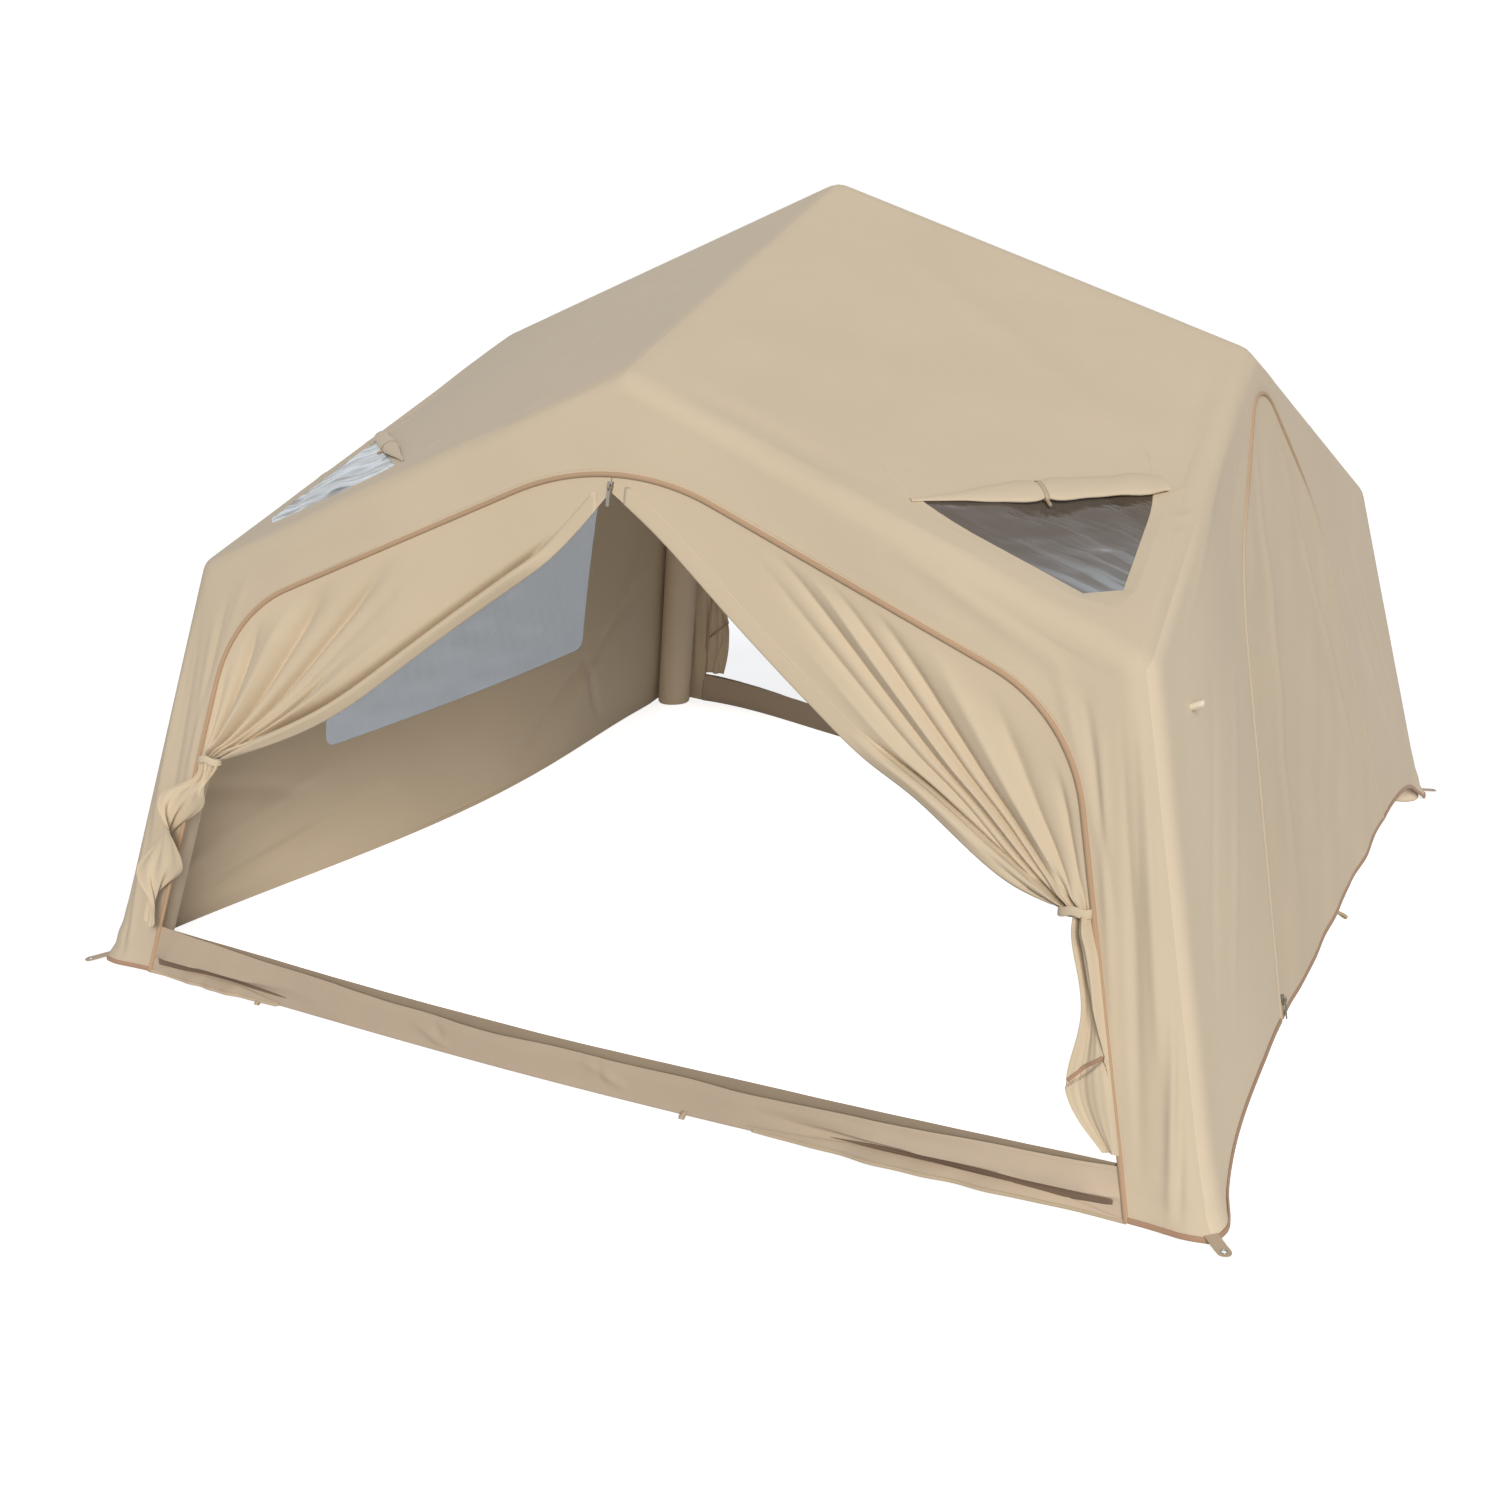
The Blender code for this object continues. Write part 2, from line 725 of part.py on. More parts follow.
def left_window():
    """Clear film in the left wall's window."""
    form = slab([left_window_loop(GAP)], -(CLOTH + FILM) / 2, -(CLOTH - FILM) / 2, *bend_cuts())
    return add_piece("left_window_film", bow_left(form), "clear_film")


# Roof

def roof_window_loop(extra):
    """Outline of a roof window in the panel's own frame, with its sides parallel to the eaves."""
    sharp = solid_corners(0.0)
    diagonal = sharp["shoulder"][0] * math.sqrt(2)
    peak_along = sharp["peak"][0] / math.sqrt(2)
    peak = Vector((peak_along, peak_along))
    shoulder = Vector((0, diagonal))
    side = drawn_in(peak, shoulder, ROOF_WINDOW_MARGIN, Vector((0, 0)))
    slope = math.hypot(1, ROOF_PITCH * math.sqrt(2))
    wide = at_level(*side, diagonal * ROOF_WINDOW_TOP_SHARE)
    run = side[1] - side[0]
    tip = side[0] + run * ((ROOF_WINDOW_TIP_HALF - side[0].x) / run.x)
    corners = [Vector((wide.x, -wide.y * slope)), Vector((tip.x, -tip.y * slope))]
    loop = mirrored(corners) + list(reversed(corners))
    return shrunk(loop, extra)


def shrunk(loop, distance):
    """A convex outline with every side moved in by a distance."""
    centre = sum(loop, Vector((0, 0))) / len(loop)
    lines = [drawn_in(loop[i - 1], loop[i], distance, centre) for i in range(len(loop))]
    return [meet(*lines[i], *lines[(i + 1) % len(lines)]) for i in range(len(lines))]


def roof_panel(corner):
    """Kite of cloth from the apex to one shoulder, with its window cut out."""
    points = frame_points()
    depth, hand = corner.split("_")
    frame = roof_frame(corner)
    names = ["apex", f"peak_{depth}", f"shoulder_{corner}", f"peak_{hand}"]
    outline = [flat(frame, points[name]) for name in names]
    form = slab([outline, roof_window_loop(0.0)], -CLOTH, 0)
    return add_piece(f"roof_panel_{corner}", place(form, frame), "canvas")


def roof_film(corner):
    """Clear film in a roof window."""
    form = slab([roof_window_loop(GAP)], -(CLOTH + FILM) / 2, -(CLOTH - FILM) / 2)
    return add_piece(f"roof_window_film_{corner}", place(form, roof_frame(corner)), "clear_film")


def roof_cover(corner):
    """Cover flap rolled up along the window's upper edge, tapering to its ends."""
    edge = max(point.y for point in roof_window_loop(0.0))
    rings = []
    for share in np.linspace(-1, 1, COVER_STATIONS + 1):
        size = 1 - COVER_TAPER_SHARE * share ** COVER_TAPER_POWER
        depth = COVER_DEPTH * size
        thickness = COVER_THICKNESS * size
        ring = []
        for i in range(COVER_SIDES):
            angle = 2 * math.pi * (i + 0.5) / COVER_SIDES
            up = edge + COVER_DEPTH / 2 + math.cos(angle) * depth / 2
            out = GAP + thickness / 2 + math.sin(angle) * thickness / 2
            ring.append(Vector((share * COVER_HALF, up, out)))
        rings.append(ring)
    return add_piece(f"roof_window_cover_{corner}", place(loft(rings), roof_frame(corner)), "curtain_canvas")


# Piping

def piping(name, side, half):
    """Half-round cord sewn over the seam of an arch."""
    line = closed(half)
    rings = []
    for i, point in enumerate(line):
        before = line[max(i - 1, 0)]
        after = line[min(i + 1, len(line) - 1)]
        arriving = (point - before) if i else (after - point)
        leaving = (after - point) if i < len(line) - 1 else arriving
        run = (arriving.normalized() + leaving.normalized()).normalized()
        widen = 1 / max(run.dot(leaving.normalized()), LEAST_MITRE_COSINE)
        across = Vector((run.y, -run.x)) * widen * (PIPING_WIDTH / 2)
        ring = []
        for step in range(PIPING_FACETS + 1):
            angle = math.pi * step / PIPING_FACETS
            spot = point + across * math.cos(angle)
            ring.append(Vector((spot.x, spot.y, GAP + PIPING_HEIGHT * math.sin(angle))))
        rings.append(ring)
    return add_piece(name, place(loft(rings), wall_frame(side)), "piping")


# Curtains and their straps

def smooth_step(value):
    share = min(max(value, 0.0), 1.0)
    return share * share * (3 - 2 * share)


def pleat_wave(share):
    """Height of the pleats, from -1 to 1, at a share of the way from the free edge to the arch."""
    main = math.sin(2 * math.pi * MAIN_PLEATS * share + MAIN_PLEAT_PHASE)
    fine = math.sin(2 * math.pi * SIDE_PLEATS * share + SIDE_PLEAT_PHASE)
    return MAIN_PLEAT_SHARE * main + (1 - MAIN_PLEAT_SHARE) * fine


def waist_centre():
    """How far across the middle of the tied bundle lies."""
    outer = jamb_at(0.0, slant(TIE_HEIGHT)) - TIE_CLEARANCE
    return outer - WAIST_WIDTH / 2


def distance_to(line, places):
    """Least distance from each of many places to a line of points."""
    nearest = np.full(places.shape[:-1], np.inf)
    for start, end in zip(line, line[1:]):
        start, end = np.array(tuple(start)), np.array(tuple(end))
        run = end - start
        share = np.clip(((places - start) @ run) / (run @ run), 0, 1)
        nearest = np.minimum(nearest, np.linalg.norm(places - start - share[..., None] * run, axis=-1))
    return nearest


def curtain_rows():
    """Grid of (across, up, out) for the right hand curtain, from the arch to the sill.

    Each column is a ray from the arch to the tie. The rays near the free edge sag between their ends.
    """
    shares = np.linspace(0, 1, CURTAIN_COLUMNS)
    tie = slant(TIE_HEIGHT)
    arch = list(reversed(arch_half(GAP)))
    split_top = Vector((GAP, arch[0].y - SPLIT_DROP))
    stop = Vector((jamb_at(GAP, tie + RAY_LEVEL), tie + RAY_LEVEL))
    bend = [point for point in arch[1:] if point.y > stop.y]
    top = along([split_top, Vector((GAP, arch[0].y))] + bend + [stop], shares)
    waist = waist_centre() + (shares - 0.5) * WAIST_WIDTH
    target = np.stack([waist, np.full_like(shares, tie + WAIST_STRAIGHT / 2)], axis=1)
    length = np.linalg.norm(target - top, axis=1)
    waves = np.array([pleat_wave(share) for share in shares])
    waves *= np.array([smooth_step((1 - share) / FLAT_EDGE_SHARE) for share in shares])
    round_in = np.sqrt(1 - (2 * shares - 1) ** 2)
    first = np.minimum(FLAT_RUN / length, FLAT_RUN_SHARE)
    rows = []
    for step in [None] + list(np.linspace(0, 1, CURTAIN_RAY_ROWS - 1)):
        share = np.zeros_like(first) if step is None else first + (1 - first) * step
        depth = (1 - share ** 2) * FOLD_DEPTH + share ** 2 * WAIST_DEPTH * round_in
        opened = np.vectorize(smooth_step)(share / OPENING_SHARE)
        ray = top + (target - top) * share[:, None]
        ray[:, 1] -= FREE_SAG * (1 - shares) ** 2 * 4 * share * (1 - share)
        rows.append((ray, depth * opened))
    end = slant(SILL_HEIGHT) + TAIL_CLEARANCE
    low = tie - WAIST_STRAIGHT / 2
    start_ease = jamb_at(0.0, low) - waist[-1]
    for step in np.linspace(0, 1, CURTAIN_TAIL_ROWS):
        level = low + (end - low) * step
        ease = start_ease + (GAP - start_ease) * smooth_step(step)
        width = WAIST_WIDTH + (TAIL_END_WIDTH - WAIST_WIDTH) * step + TAIL_BULGE * math.sin(math.pi * step)
        across = jamb_at(0.0, level) - ease - (1 - shares) * width
        depth = WAIST_DEPTH * round_in * (1 - step) + TAIL_FOLD_DEPTH * step
        rows.append((np.stack([across, np.full_like(shares, level)], axis=1), depth))
    places = np.array([row[0] for row in rows])
    free = (distance_to(arch_half(0.0), places) - FLAT_BAND) / FOLD_RAMP
    out = np.array([row[1] for row in rows]) * waves * np.vectorize(smooth_step)(free)
    return np.concatenate([places, out[:, :, None]], axis=2)


def curtain(side, hand, sign):
    """One half of an open door's cloth: it fans from the arch to its tie and hangs to the sill."""
    rows = curtain_rows()
    rows[:, :, 0] *= sign
    form = grid_sheet(rows, rows - np.array([0, 0, CLOTH]))
    return add_piece(f"{side}_curtain_{hand}", place(form, wall_frame(side)), "curtain_canvas")


def tie_strap(side, hand, sign):
    """Band round the tied bundle, with a tongue that lands on the inner face of the jamb."""
    wide = WAIST_WIDTH / 2 + STRAP_EASE_ACROSS
    deep = WAIST_DEPTH + CLOTH / 2 + STRAP_EASE_DEEP
    centre = waist_centre()
    middle = -CLOTH / 2
    tongue_top = -CLOTH - GAP
    tongue_low = tongue_top - STRAP
    outer_wide, outer_deep = wide + STRAP, deep + STRAP
    start = math.asin((tongue_top - middle) / outer_deep)
    end = 2 * math.pi + math.asin((tongue_low - middle) / outer_deep)
    loop = []
    for angle in np.linspace(start, end, STRAP_STEPS):
        loop.append((centre + outer_wide * math.cos(angle), middle + outer_deep * math.sin(angle)))
    landing = jamb_at(0.0, slant(TIE_HEIGHT)) + STRAP_LANDING
    loop += [(landing, tongue_low), (landing, tongue_top)]
    hole = []
    for i in range(STRAP_STEPS):
        angle = 2 * math.pi * i / STRAP_STEPS
        hole.append((centre + wide * math.cos(angle), middle + deep * math.sin(angle)))
    form = slab([loop, hole], -STRAP_WIDTH / 2, STRAP_WIDTH / 2)
    for vertex in form.verts:
        across, out, up = vertex.co
        vertex.co = Vector((sign * across, slant(TIE_HEIGHT) + up, out))
    return add_piece(f"{side}_tie_strap_{hand}", place(form, wall_frame(side)), "webbing")


# Sills

def sill(side, bow):
    """Folded strip along the floor between the jambs; its outer layer sags at the top edge."""
    frame = wall_frame(side)
    way = inward(side)
    tall = slant(SILL_HEIGHT)
    fold = HEM_LIFT + CLOTH
    rings = []
    for share in np.linspace(-1, 1, SILL_STATIONS + 1):
        middle = 1 - share ** 2
        sagged = tall - SILL_SAG * middle
        depth = 2 * CLOTH + SILL_END_SPACE + (SILL_SPACE - SILL_END_SPACE) * middle
        section = [
            (0, HEM_LIFT), (0, sagged), (-CLOTH, sagged), (-CLOTH, fold),
            (CLOTH - depth, fold), (CLOTH - depth, tall), (-depth, tall), (-depth, HEM_LIFT),
        ]
        ring = []
        for out, level in section:
            across = share * jamb_at(GAP, level)
            ring.append(frame @ Vector((across, level, out)) + way * (bow * middle ** 2))
        rings.append(ring)
    return add_piece(f"{side}_sill", loft(rings), "canvas")


# Feet

def peg_tab(corner):
    """Flat webbing tab with an eye, sewn to the foot of a leg and pointing outward."""
    sx, sy = CORNERS[corner]
    base = solid_corners(BEAM_INSET)["foot"][0]
    centre = Vector((sx, sy, 0)).normalized() * (base - WALL_LEAN * TAB_LEVEL) * math.sqrt(2)
    start = BEAM_RADIUS * math.hypot(1, WALL_LEAN * math.sqrt(2)) + GAP
    end = start + TAB_LENGTH
    half = TAB_WIDTH / 2
    eye = end - half
    outline = [Vector((start, -half))]
    for angle in np.linspace(-QUARTER, QUARTER, TAB_STEPS + 1):
        outline.append(Vector((eye + half * math.cos(angle), half * math.sin(angle))))
    outline.append(Vector((start, half)))
    hole = []
    for i in range(2 * TAB_STEPS):
        angle = math.pi * i / TAB_STEPS
        hole.append(Vector((eye + TAB_EYE_RADIUS * math.cos(angle), TAB_EYE_RADIUS * math.sin(angle))))
    form = slab([outline, hole], 0, CLOTH)
    turn = Matrix.Rotation(math.atan2(sy, sx), 4, "Z")
    spot = Matrix.Translation(centre + Vector((0, 0, TAB_LEVEL)))
    return add_piece(f"peg_tab_{corner}", place(form, spot @ turn), "webbing")


# Zips

def zip_slider(name, spot):
    """Slider body with the bail that its pull hangs from."""
    half = SLIDER_LENGTH / 2
    wide = SLIDER_WIDTH / 2
    nose = SLIDER_NOSE_WIDTH / 2
    outline = [(-nose, -half), (nose, -half), (wide, 0), (wide, half), (-wide, half), (-wide, 0)]
    body = slab([outline], GAP, SLIDER_HEIGHT)
    top = max(v.co.z for v in body.verts)
    top_edges = [edge for edge in body.edges
                 if edge.calc_face_angle(0) > TOP_EDGE_ANGLE and all(v.co.z == top for v in edge.verts)]
    bmesh.ops.bevel(body, geom=top_edges, offset=SLIDER_EDGE, segments=1, profile=ROUND_PROFILE,
                    affect="EDGES")
    arch = []
    for stock in (0, BAIL_STOCK):
        reach = BAIL_HALF_LENGTH - stock
        height = BAIL_HEIGHT - stock
        line = []
        for step in range(BAIL_STEPS + 1):
            angle = math.pi * step / BAIL_STEPS
            up = SLIDER_HEIGHT + height * math.sin(angle) ** BAIL_SQUARENESS
            line.append((reach * math.cos(angle), up))
        arch.append([(reach, SLIDER_HEIGHT - BAIL_ROOT)] + line + [(-reach, SLIDER_HEIGHT - BAIL_ROOT)])
    bail = slab([arch[0] + list(reversed(arch[1]))], -BAIL_WIDTH / 2, BAIL_WIDTH / 2)
    for vertex in bail.verts:
        up, out, across = vertex.co
        vertex.co = Vector((across, up, out))
    origin = spot.translation
    piece = add_piece(name, place(body, spot), "zip_metal", origin)
    return combine(piece, add_piece("bail", place(bail, spot), "zip_metal", origin), "UNION")


def zip_pull(name, spot):
    """Pull tab that hangs from a slider; its crossbar turns under the bail."""
    half = PULL_WIDTH / 2
    bar = PULL_BAR / 2
    eye_half = BAIL_WIDTH / 2 + PULL_EASE
    eye_low = -(BAIL_HALF_LENGTH + PULL_BAR)
    end = -PULL_LENGTH
    outline = [Vector((half, bar)), Vector((-half, bar))]
    for angle in np.linspace(math.pi, 2 * math.pi, PULL_END_STEPS + 1):
        outline.append(Vector((half * math.cos(angle), end + half + half * math.sin(angle))))
    eye = [(eye_half, -bar), (-eye_half, -bar), (-eye_half, eye_low), (eye_half, eye_low)]
    axis = Vector((0, 0, SLIDER_HEIGHT + PULL_LEVEL))
    form = slab([outline, eye], -PULL_STOCK / 2, PULL_STOCK / 2)
    bmesh.ops.translate(form, verts=form.verts, vec=axis)
    return add_piece(name, place(form, spot), "zip_metal", spot @ axis)


def split_zip_spot(side):
    """Place of the slider parked at the top of an open door's split."""
    top = arch_half(GAP)[-1].y
    level = top - SPLIT_DROP + SLIDER_LENGTH / 2
    return wall_frame(side) @ Matrix.Translation((0, level, 0))


def right_zip_spot():
    """Place of the right door's slider at the lower end of its zip, on the side nearest the front."""
    half = clip_to_hem(door_half(ZIP_LINE))
    low = at_level(half[0], half[1], half[0].y + SLIDER_LENGTH / 2 + ZIP_REST_CLEARANCE)
    run = (half[1] - half[0]).normalized()
    turn = math.atan2(run.x, run.y)
    return wall_frame("right") @ Matrix.Translation((-low.x, low.y, 0)) @ Matrix.Rotation(turn, 4, "Z")


# Inflation valve

def valve_frame():
    """Frame on the back right leg's surface: Z points into the tent, square to the beam."""
    points = frame_points()
    foot, shoulder = points["foot_back_right"], points["shoulder_back_right"]
    axis = (shoulder - foot).normalized()
    spot = foot + axis * (VALVE_HEIGHT / axis.z)
    inner = Vector((-1, -1, 0))
    out = (inner - axis * inner.dot(axis)).normalized()
    across = axis.cross(out)
    turn = Matrix((across, axis, out)).transposed().to_4x4()
    return Matrix.Translation(spot + out * BEAM_RADIUS) @ turn


def valve():
    """Flanged valve seated on the beam, and its screw cap."""
    frame = valve_frame()
    profile = [
        (0, -VALVE_ROOT), (VALVE_FLANGE_RADIUS, -VALVE_ROOT), (VALVE_FLANGE_RADIUS, VALVE_FLANGE),
        (VALVE_NECK_RADIUS, VALVE_FLANGE), (VALVE_NECK_RADIUS, VALVE_NECK), (VALVE_BORE_RADIUS, VALVE_NECK),
        (VALVE_BORE_RADIUS, VALVE_BORE_DEPTH), (VALVE_STEM_RADIUS, VALVE_BORE_DEPTH),
        (VALVE_STEM_RADIUS, VALVE_NECK - VALVE_STEM_DROP), (0, VALVE_NECK - VALVE_STEM_DROP),
    ]
    body = add_piece("inflation_valve", place(lathe(profile, VALVE_SIDES), frame), "valve_plastic")
    points = frame_points()
    foot, shoulder = points["foot_back_right"], points["shoulder_back_right"]
    facing = Vector((foot.x, foot.y, 0))
    seat = rod(foot, shoulder, BEAM_RADIUS + GAP, BEAM_SIDES, facing, 0, 0)
    combine(body, add_piece("seat", seat, "valve_plastic"), "DIFFERENCE")
    inner = VALVE_NECK_RADIUS + CAP_EASE
    outer = inner + CAP_WALL
    low = VALVE_FLANGE + GAP
    roof = VALVE_NECK + CAP_EASE
    top = roof + CAP_WALL
    shell = [
        (0, roof), (inner, roof), (inner, low), (outer, low),
        (outer, top - CAP_RIB), (outer - CAP_RIB, top), (0, top),
    ]
    form = lathe(shell, VALVE_SIDES, ribs=(3, 4))
    add_piece("valve_cap", place(form, frame), "valve_plastic", frame.translation)


def build_doors():
    """Open doors at front and back, with their curtains, straps, sills, piping and zips."""
    for side, bow in (("front", FRONT_SILL_BOW), ("back", BACK_SILL_BOW)):
        door_wall(side)
        sill(side, bow)
        piping(f"{side}_arch_piping", side, arch_half(0.0))
        for hand, sign in (("left", -1), ("right", 1)):
            on_own_right = sign if side == "front" else -sign
            curtain(side, hand, on_own_right)
            tie_strap(side, hand, on_own_right)
        zip_slider(f"{side}_zip_slider", split_zip_spot(side))
        zip_pull(f"{side}_zip_pull", split_zip_spot(side))


def build_right_side():
    right_wall()
    right_door()
    piping("right_arch_piping", "right", clip_to_hem(door_half(0.0)))
    zip_slider("right_zip_slider", right_zip_spot())
    zip_pull("right_zip_pull", right_zip_spot())


def build_left_side():
    left_wall()
    left_window()


def build_roof():
    for corner in CORNERS:
        roof_panel(corner)
        roof_film(corner)
        roof_cover(corner)


def build_feet():
    for corner in CORNERS:
        peg_tab(corner)


clear_scene()
build_beams()
build_roof()
build_doors()
build_right_side()
build_left_side()
build_feet()
valve()
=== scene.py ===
# %% [markdown]
# # A lounge tent on an inflated frame
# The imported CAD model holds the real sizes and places, and it moves as the joints say.
# This lesson dresses it: every soft solid gets a sheet of cloth, film or webbing worked out
# with numpy, and the metal and plastic pieces keep their shape and get a finish.
# %% Load the frame
import math

import bmesh
import bpy
import numpy as np
from mathutils import Matrix


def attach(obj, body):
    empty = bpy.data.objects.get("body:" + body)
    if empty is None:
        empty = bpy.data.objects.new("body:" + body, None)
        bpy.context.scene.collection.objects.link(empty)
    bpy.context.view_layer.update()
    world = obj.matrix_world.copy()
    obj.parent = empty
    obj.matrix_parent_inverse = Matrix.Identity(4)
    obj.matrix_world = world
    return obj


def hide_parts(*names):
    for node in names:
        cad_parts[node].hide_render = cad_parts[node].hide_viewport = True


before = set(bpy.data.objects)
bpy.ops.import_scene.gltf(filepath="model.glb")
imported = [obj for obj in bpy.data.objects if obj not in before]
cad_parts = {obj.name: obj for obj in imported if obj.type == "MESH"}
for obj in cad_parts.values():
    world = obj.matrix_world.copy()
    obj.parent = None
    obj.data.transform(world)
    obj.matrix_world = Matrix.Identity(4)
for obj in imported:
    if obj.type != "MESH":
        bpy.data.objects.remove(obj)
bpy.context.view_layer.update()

# %% [markdown]
# ## Camera
# A camera is a place, three directions and a focal length. These come from fitting the
# tent's corners to the photograph, so straight edges fall where they do there.
# %% Camera
AZIMUTH, ELEVATION, ROLL = np.radians([28.33, 17.16, -0.90])
CAMERA_PLACE = (2.055, -4.370, 1.873)
FOCAL_PIXELS, IMAGE_PIXELS, SENSOR_MM = 1679.9, 1500, 36.0

back = np.array([
    np.sin(AZIMUTH) * np.cos(ELEVATION), -np.cos(AZIMUTH) * np.cos(ELEVATION), np.sin(ELEVATION)])
level = np.array([np.cos(AZIMUTH), np.sin(AZIMUTH), 0.0])
upright = np.cross(back, level)
turned_right = np.cos(ROLL) * level + np.sin(ROLL) * upright
turned_up = np.cos(ROLL) * upright - np.sin(ROLL) * level
camera_data = bpy.data.cameras.new("photo_camera")
camera_data.sensor_width = SENSOR_MM
camera_data.lens = FOCAL_PIXELS / IMAGE_PIXELS * SENSOR_MM
camera = bpy.data.objects.new("photo_camera", camera_data)
bpy.context.scene.collection.objects.link(camera)
camera.matrix_world = Matrix([
    [turned_right[i], turned_up[i], back[i], CAMERA_PLACE[i]] for i in range(3)
] + [[0, 0, 0, 1]])
bpy.context.scene.camera = camera
print("lens", round(camera_data.lens, 2), "mm")

# %% [markdown]
# ## Nodes for finishes
# A finish is a Principled shader with a few texture nodes in front of it. A few small helpers
# add a node, wire its inputs and give its output, so each finish below reads as a short list.
# %% Node helpers
def add_node(tree, kind, settings=None, **inputs):
    """Adds a node. An input may be a number, a colour or another node's output."""
    made = tree.nodes.new(kind)
    for key, value in (settings or {}).items():
        setattr(made, key, value)
    for key, value in inputs.items():
        numbered = key[0] == "i" and key[1:].isdigit()
        socket = made.inputs[int(key[1:]) if numbered else key.replace("_", " ")]
        if isinstance(value, bpy.types.NodeSocket):
            tree.links.new(value, socket)
        else:
            socket.default_value = value
    return made


def worked_out(tree, operation, *values):
    """Output of a Math node: an operation on numbers or other outputs."""
    return add_node(tree, "ShaderNodeMath", {"operation": operation},
                    **{f"i{number}": value for number, value in enumerate(values)}).outputs[0]


def ranged(tree, value, low=0.0, high=1.0, first=0.0, last=1.0):
    """Output of a Map Range node: low to high becomes first to last, and it is level beyond."""
    return add_node(tree, "ShaderNodeMapRange", Value=value, i1=low, i2=high, i3=first, i4=last).outputs[0]


def mixed(tree, factor, one, other):
    """Output of a Mix node: a colour between two others, by a factor."""
    return add_node(tree, "ShaderNodeMix", {"data_type": "RGBA"}, Factor=factor, i6=one, i7=other).outputs[2]


def new_finish(name, colour, roughness, metallic=0.0):
    """A new material with its Principled shader set to plain values."""
    made = bpy.data.materials.new(name)
    made.use_nodes = True
    shader = made.node_tree.nodes["Principled BSDF"]
    shader.inputs["Base Color"].default_value = (*colour, 1)
    shader.inputs["Roughness"].default_value = roughness
    shader.inputs["Metallic"].default_value = metallic
    made.diffuse_color = (*colour, 1)
    return made, made.node_tree, shader


# %% [markdown]
# ## Woven cloth
# The tent's cloth is made as a woven canvas: a fine plain weave, slightly mottled, with a soft
# sheen. Two wave textures at right angles on the cloth's own UV map, which is in metres,
# make warp and weft. A broad noise varies the tone and another lifts soft unevenness. Where
# a sheet is lighter or darker at one end, its colour fades along an axis: painted sunlight and
# painted shade on the canvases, and only a paler end on the piping and the sill. The inside of
# the canvases is a little lighter, which is painted light.
# %% Cloth finishes
WAVE_PERIOD = math.pi / 10
THREAD = 0.0014
TENT_MIDDLE = (0.0, 0.0, 0.55)


def woven(name, colour, roughness=0.85, sheen=0.12, mottling=0.06, softness=0.25, inner=1.0, faded=None):
    """Cloth: warp and weft waves, a mottled tone and soft dents.

    The side towards the tent's middle may be lighter, by a factor: painted light on the inside of the tent.
    The colour may fade along an axis, from another colour at the first place to its own at the
    second. On the canvases it is painted sunlight on one and painted shade on another; on the
    piping and the sill it is a paler end.
    """
    made, tree, shader = new_finish(name, colour, roughness)
    spot = tree.nodes.new("ShaderNodeTexCoord")
    waves = [add_node(tree, "ShaderNodeTexWave", {"bands_direction": way}, Vector=spot.outputs["UV"],
                      Scale=WAVE_PERIOD / THREAD).outputs["Fac"] for way in ("X", "Y")]
    weave = worked_out(tree, "MULTIPLY", *waves)
    broad = add_node(tree, "ShaderNodeTexNoise", Vector=spot.outputs["Object"], Scale=2.3, Detail=5.0)
    darker = (channel * (1 - mottling) for channel in colour)
    lighter = (min(1.0, channel * (1 + mottling)) for channel in colour)
    final = mixed(tree, broad.outputs["Fac"], (*darker, 1), (*lighter, 1))
    if inner != 1.0:
        away = add_node(tree, "ShaderNodeVectorMath", {"operation": "SUBTRACT"},
                        i0=spot.outputs["Object"], i1=TENT_MIDDLE)
        facing = add_node(tree, "ShaderNodeVectorMath", {"operation": "DOT_PRODUCT"},
                          i0=spot.outputs["Normal"], i1=away.outputs["Vector"])
        inward = worked_out(tree, "LESS_THAN", facing.outputs["Value"], 0.0)
        final = mixed(tree, inward, final, (*(channel * inner for channel in colour), 1))
    if faded:
        axis, low, high, other = faded
        place = add_node(tree, "ShaderNodeSeparateXYZ", Vector=spot.outputs["Object"])
        final = mixed(tree, ranged(tree, place.outputs[axis], low, high), (*other, 1), final)
    tree.links.new(final, shader.inputs["Base Color"])
    dents = add_node(tree, "ShaderNodeTexNoise", Vector=spot.outputs["Object"], Scale=7.0, Detail=3.0)
    soft = add_node(tree, "ShaderNodeBump", Height=dents.outputs["Fac"], Strength=softness, Distance=0.012)
    fine = add_node(tree, "ShaderNodeBump", Height=weave, Normal=soft.outputs["Normal"],
                    Strength=0.25, Distance=THREAD / 6)
    tree.links.new(fine.outputs["Normal"], shader.inputs["Normal"])
    shader.inputs["Sheen Weight"].default_value = sheen
    shader.inputs["Sheen Roughness"].default_value = 0.5
    return made


CANVAS = (0.640, 0.528, 0.380)
# The inner factor of 1.05 lightens the inside of the tent's canvas: painted light.
canvas = woven("canvas_cloth", CANVAS, inner=1.05)
# This canvas is lighter towards the right wall's front end: painted sunlight.
painted_sunlit_canvas = woven("painted_sunlit_canvas", CANVAS, inner=1.05, faded=("Y", -1.05, -0.60, (0.725, 0.600, 0.435)))
# This canvas is darker towards the tent's left: painted shade. It is worn by the front wall, the left wall
# and the left roof panels.
shaded_canvas = woven("shaded_canvas", CANVAS, inner=1.05, faded=("X", -1.30, -0.25, (0.575, 0.474, 0.345)))
curtain_cloth = woven("curtain_cloth", (0.650, 0.530, 0.375), softness=0.15)
sleeve_cloth = woven("sleeve_cloth", (0.700, 0.580, 0.430))
piping_cloth = woven("piping_cloth", (0.490, 0.325, 0.200), mottling=0.12, softness=0.1)
webbing_cloth = woven("webbing_cloth", (0.520, 0.410, 0.280), mottling=0.10, softness=0.1)
